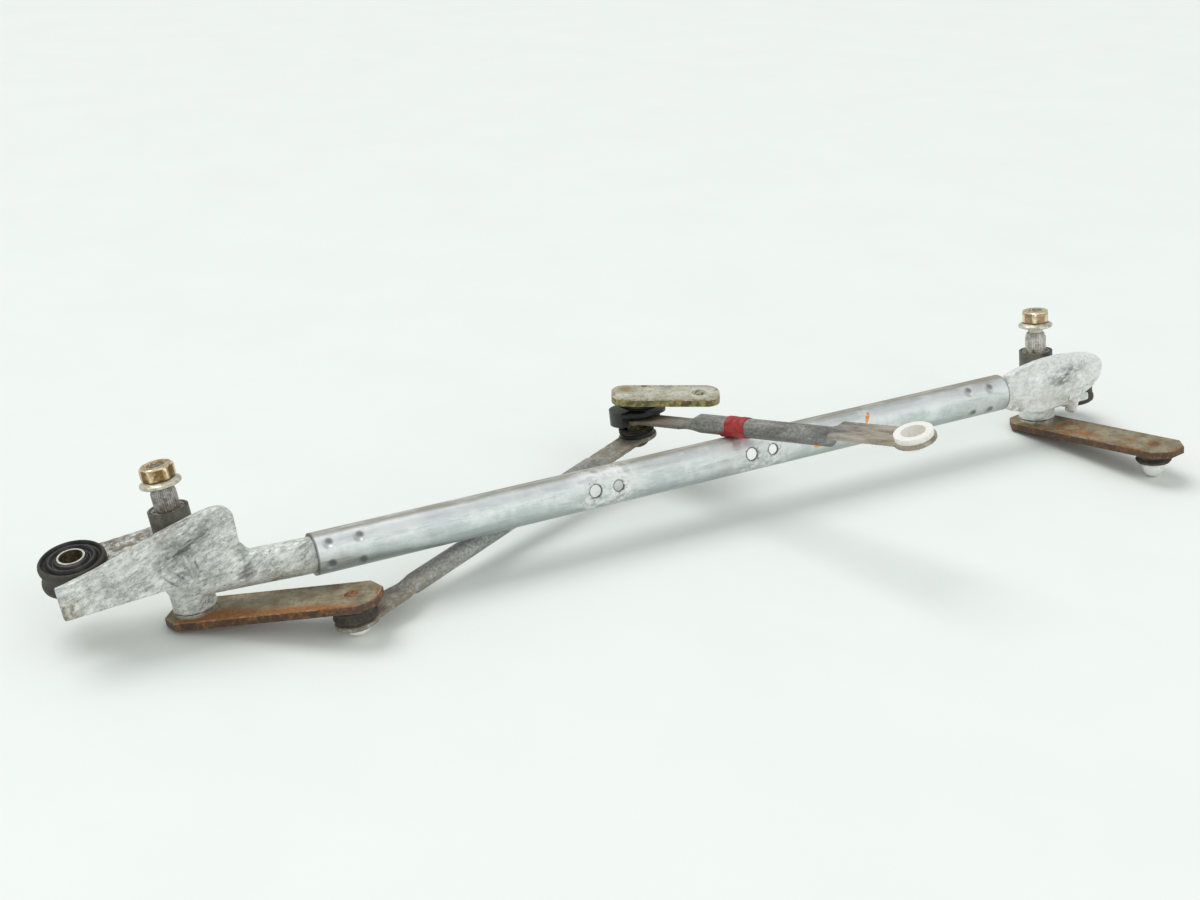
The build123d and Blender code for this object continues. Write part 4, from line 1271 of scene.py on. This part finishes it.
def makeFlap():
    # the tape's torn end, standing off the rod towards the crank
    columns, rows = tapeShape["flapCells"]
    flap = newPiece(bpy.ops.mesh.primitive_grid_add, "tape_end", x_subdivisions=columns,
                    y_subdivisions=rows, size=1.0)
    flap.scale = (tapeShape["flapLength"], tapeShape["flapWidth"], 1.0)
    applyTransform()
    addModifier(flap, "SIMPLE_DEFORM", deform_method="BEND", deform_axis="Y",
                angle=radians(tapeShape["flapBend"]))
    creased(flap, tapeShape["creaseSize"] / 2)
    addModifier(flap, "SOLIDIFY", thickness=tapeShape["flapThickness"], offset=0.0)
    around = Matrix.Rotation(radians(tapeShape["flapTurn"]), 4, "Z")
    out = Matrix.Translation((tapeShape["outer"], 0, -tapeShape["half"] - tapeShape["flapLength"] / 3))
    onEdge = Matrix.Rotation(radians(90), 4, "Y")
    finishShape(flap)
    settle(flap, tapePlace @ around @ out @ onEdge)
    standFor(flap, "right_link", "tape_red", redTape)


makeTape()
makeFlap()
print("tape wound")


# Grommets with concentric lips on their upper face, as radii and heights from the eye's middle

grommetProfile = (
    (0.0079, -0.0080), (0.0174, -0.0080), (0.0187, -0.0070), (0.0190, -0.0056), (0.0188, -0.0038),
    (0.0182, -0.0030), (0.0179, 0.0), (0.0182, 0.0030), (0.0188, 0.0038), (0.0190, 0.0054),
    (0.0187, 0.0068), (0.0179, 0.0077), (0.0171, 0.0079), (0.0165, 0.0073), (0.0160, 0.0060),
    (0.0151, 0.0056), (0.0144, 0.0060), (0.0139, 0.0073), (0.0131, 0.0080), (0.0121, 0.0080),
    (0.0114, 0.0072), (0.0108, 0.0064), (0.0101, 0.0064), (0.0096, 0.0072), (0.0091, 0.0080),
    (0.0084, 0.0082), (0.0079, 0.0077),
)
for side in sides:
    lips = turned(side + "_grommet_lips", grommetProfile, eyePlaces[side])
    standFor(lips, "frame", "grommet_rubber", rubbers[side], side + "_grommet")
print("grommets made")


# Table, light and camera

studio = {
    "tableSize": 16.0, "tableZ": -0.0002, "tableColour": (0.86, 0.893, 0.86), "paler": 1.03,
    "tableRough": 0.55,
    "faint": (9.0, 0.5, 0.3), "worldColour": (0.97, 1.0, 0.99), "worldStrength": 0.65,
    "reflectedStrength": 0.42,
    # name, strength, spread in degrees and the direction that the light comes from
    "lamps": (("keyLight", 1.18, 38, (-0.35, 0.70, 1.55)), ("fillLight", 0.50, 44, (0.6, -1.4, 0.9))),
}


def makeTable():
    table = newPiece(bpy.ops.mesh.primitive_plane_add, "table", (0, 0, studio["tableZ"]),
                     size=studio["tableSize"])
    applyTransform()
    material, tree, shader, coords = startMaterial("paleTable", None, Roughness=studio["tableRough"])
    paler = tuple(min(1.0, channel * studio["paler"]) for channel in studio["tableColour"])
    faint = patchesOn(tree, coords, *studio["faint"])
    feed(tree, shader, blendColour(tree, faint, studio["tableColour"], paler))
    table.data.materials.append(material)


def makeLight(name, power, spread, place):
    # a wide soft source that lights the whole table evenly
    lamp = newPiece(bpy.ops.object.light_add, name, place, type="SUN")
    lamp.data.angle = radians(spread)
    lamp.data.energy = power
    lamp.rotation_euler = (-Vector(place)).to_track_quat("-Z", "Y").to_euler()


def makeWorld():
    # bare metal mirrors a dimmer room than the one that lights the table
    world = bpy.data.worlds.new("paleRoom")
    bpy.context.scene.world = world
    world.use_nodes = True
    tree = world.node_tree
    glossy = addNode(tree, "ShaderNodeLightPath").outputs["Is Glossy Ray"]
    sky = tree.nodes["Background"]
    setSocket(tree, sky.inputs["Color"], studio["worldColour"])
    setSocket(tree, sky.inputs["Strength"],
              ramp(tree, glossy, 0.0, 1.0, studio["worldStrength"], studio["reflectedStrength"]))


makeTable()
for lamp in studio["lamps"]:
    makeLight(*lamp)
makeWorld()

# distance and angles of the camera, with the left spindle's foot as the fixed point
lens = {
    "fromLeftFoot": (-0.15469, -0.82792, 0.47200), "lookDown": 24.78, "turn": 26.456, "focalPixels": 1637.7,
    "imageWidth": 1200, "sensor": 36.0,
}
viewPoint = spindlePlaces["left"].translation + Vector(lens["fromLeftFoot"])
camera = newPiece(bpy.ops.object.camera_add, "Camera", viewPoint)
camera.rotation_euler = (radians(90 - lens["lookDown"]), 0, -radians(lens["turn"]))
camera.data.sensor_width = lens["sensor"]
camera.data.lens = lens["sensor"] * lens["focalPixels"] / lens["imageWidth"]
bpy.context.scene.camera = camera
bpy.context.scene.view_settings.view_transform = "Standard"
print("table, lights and camera placed")
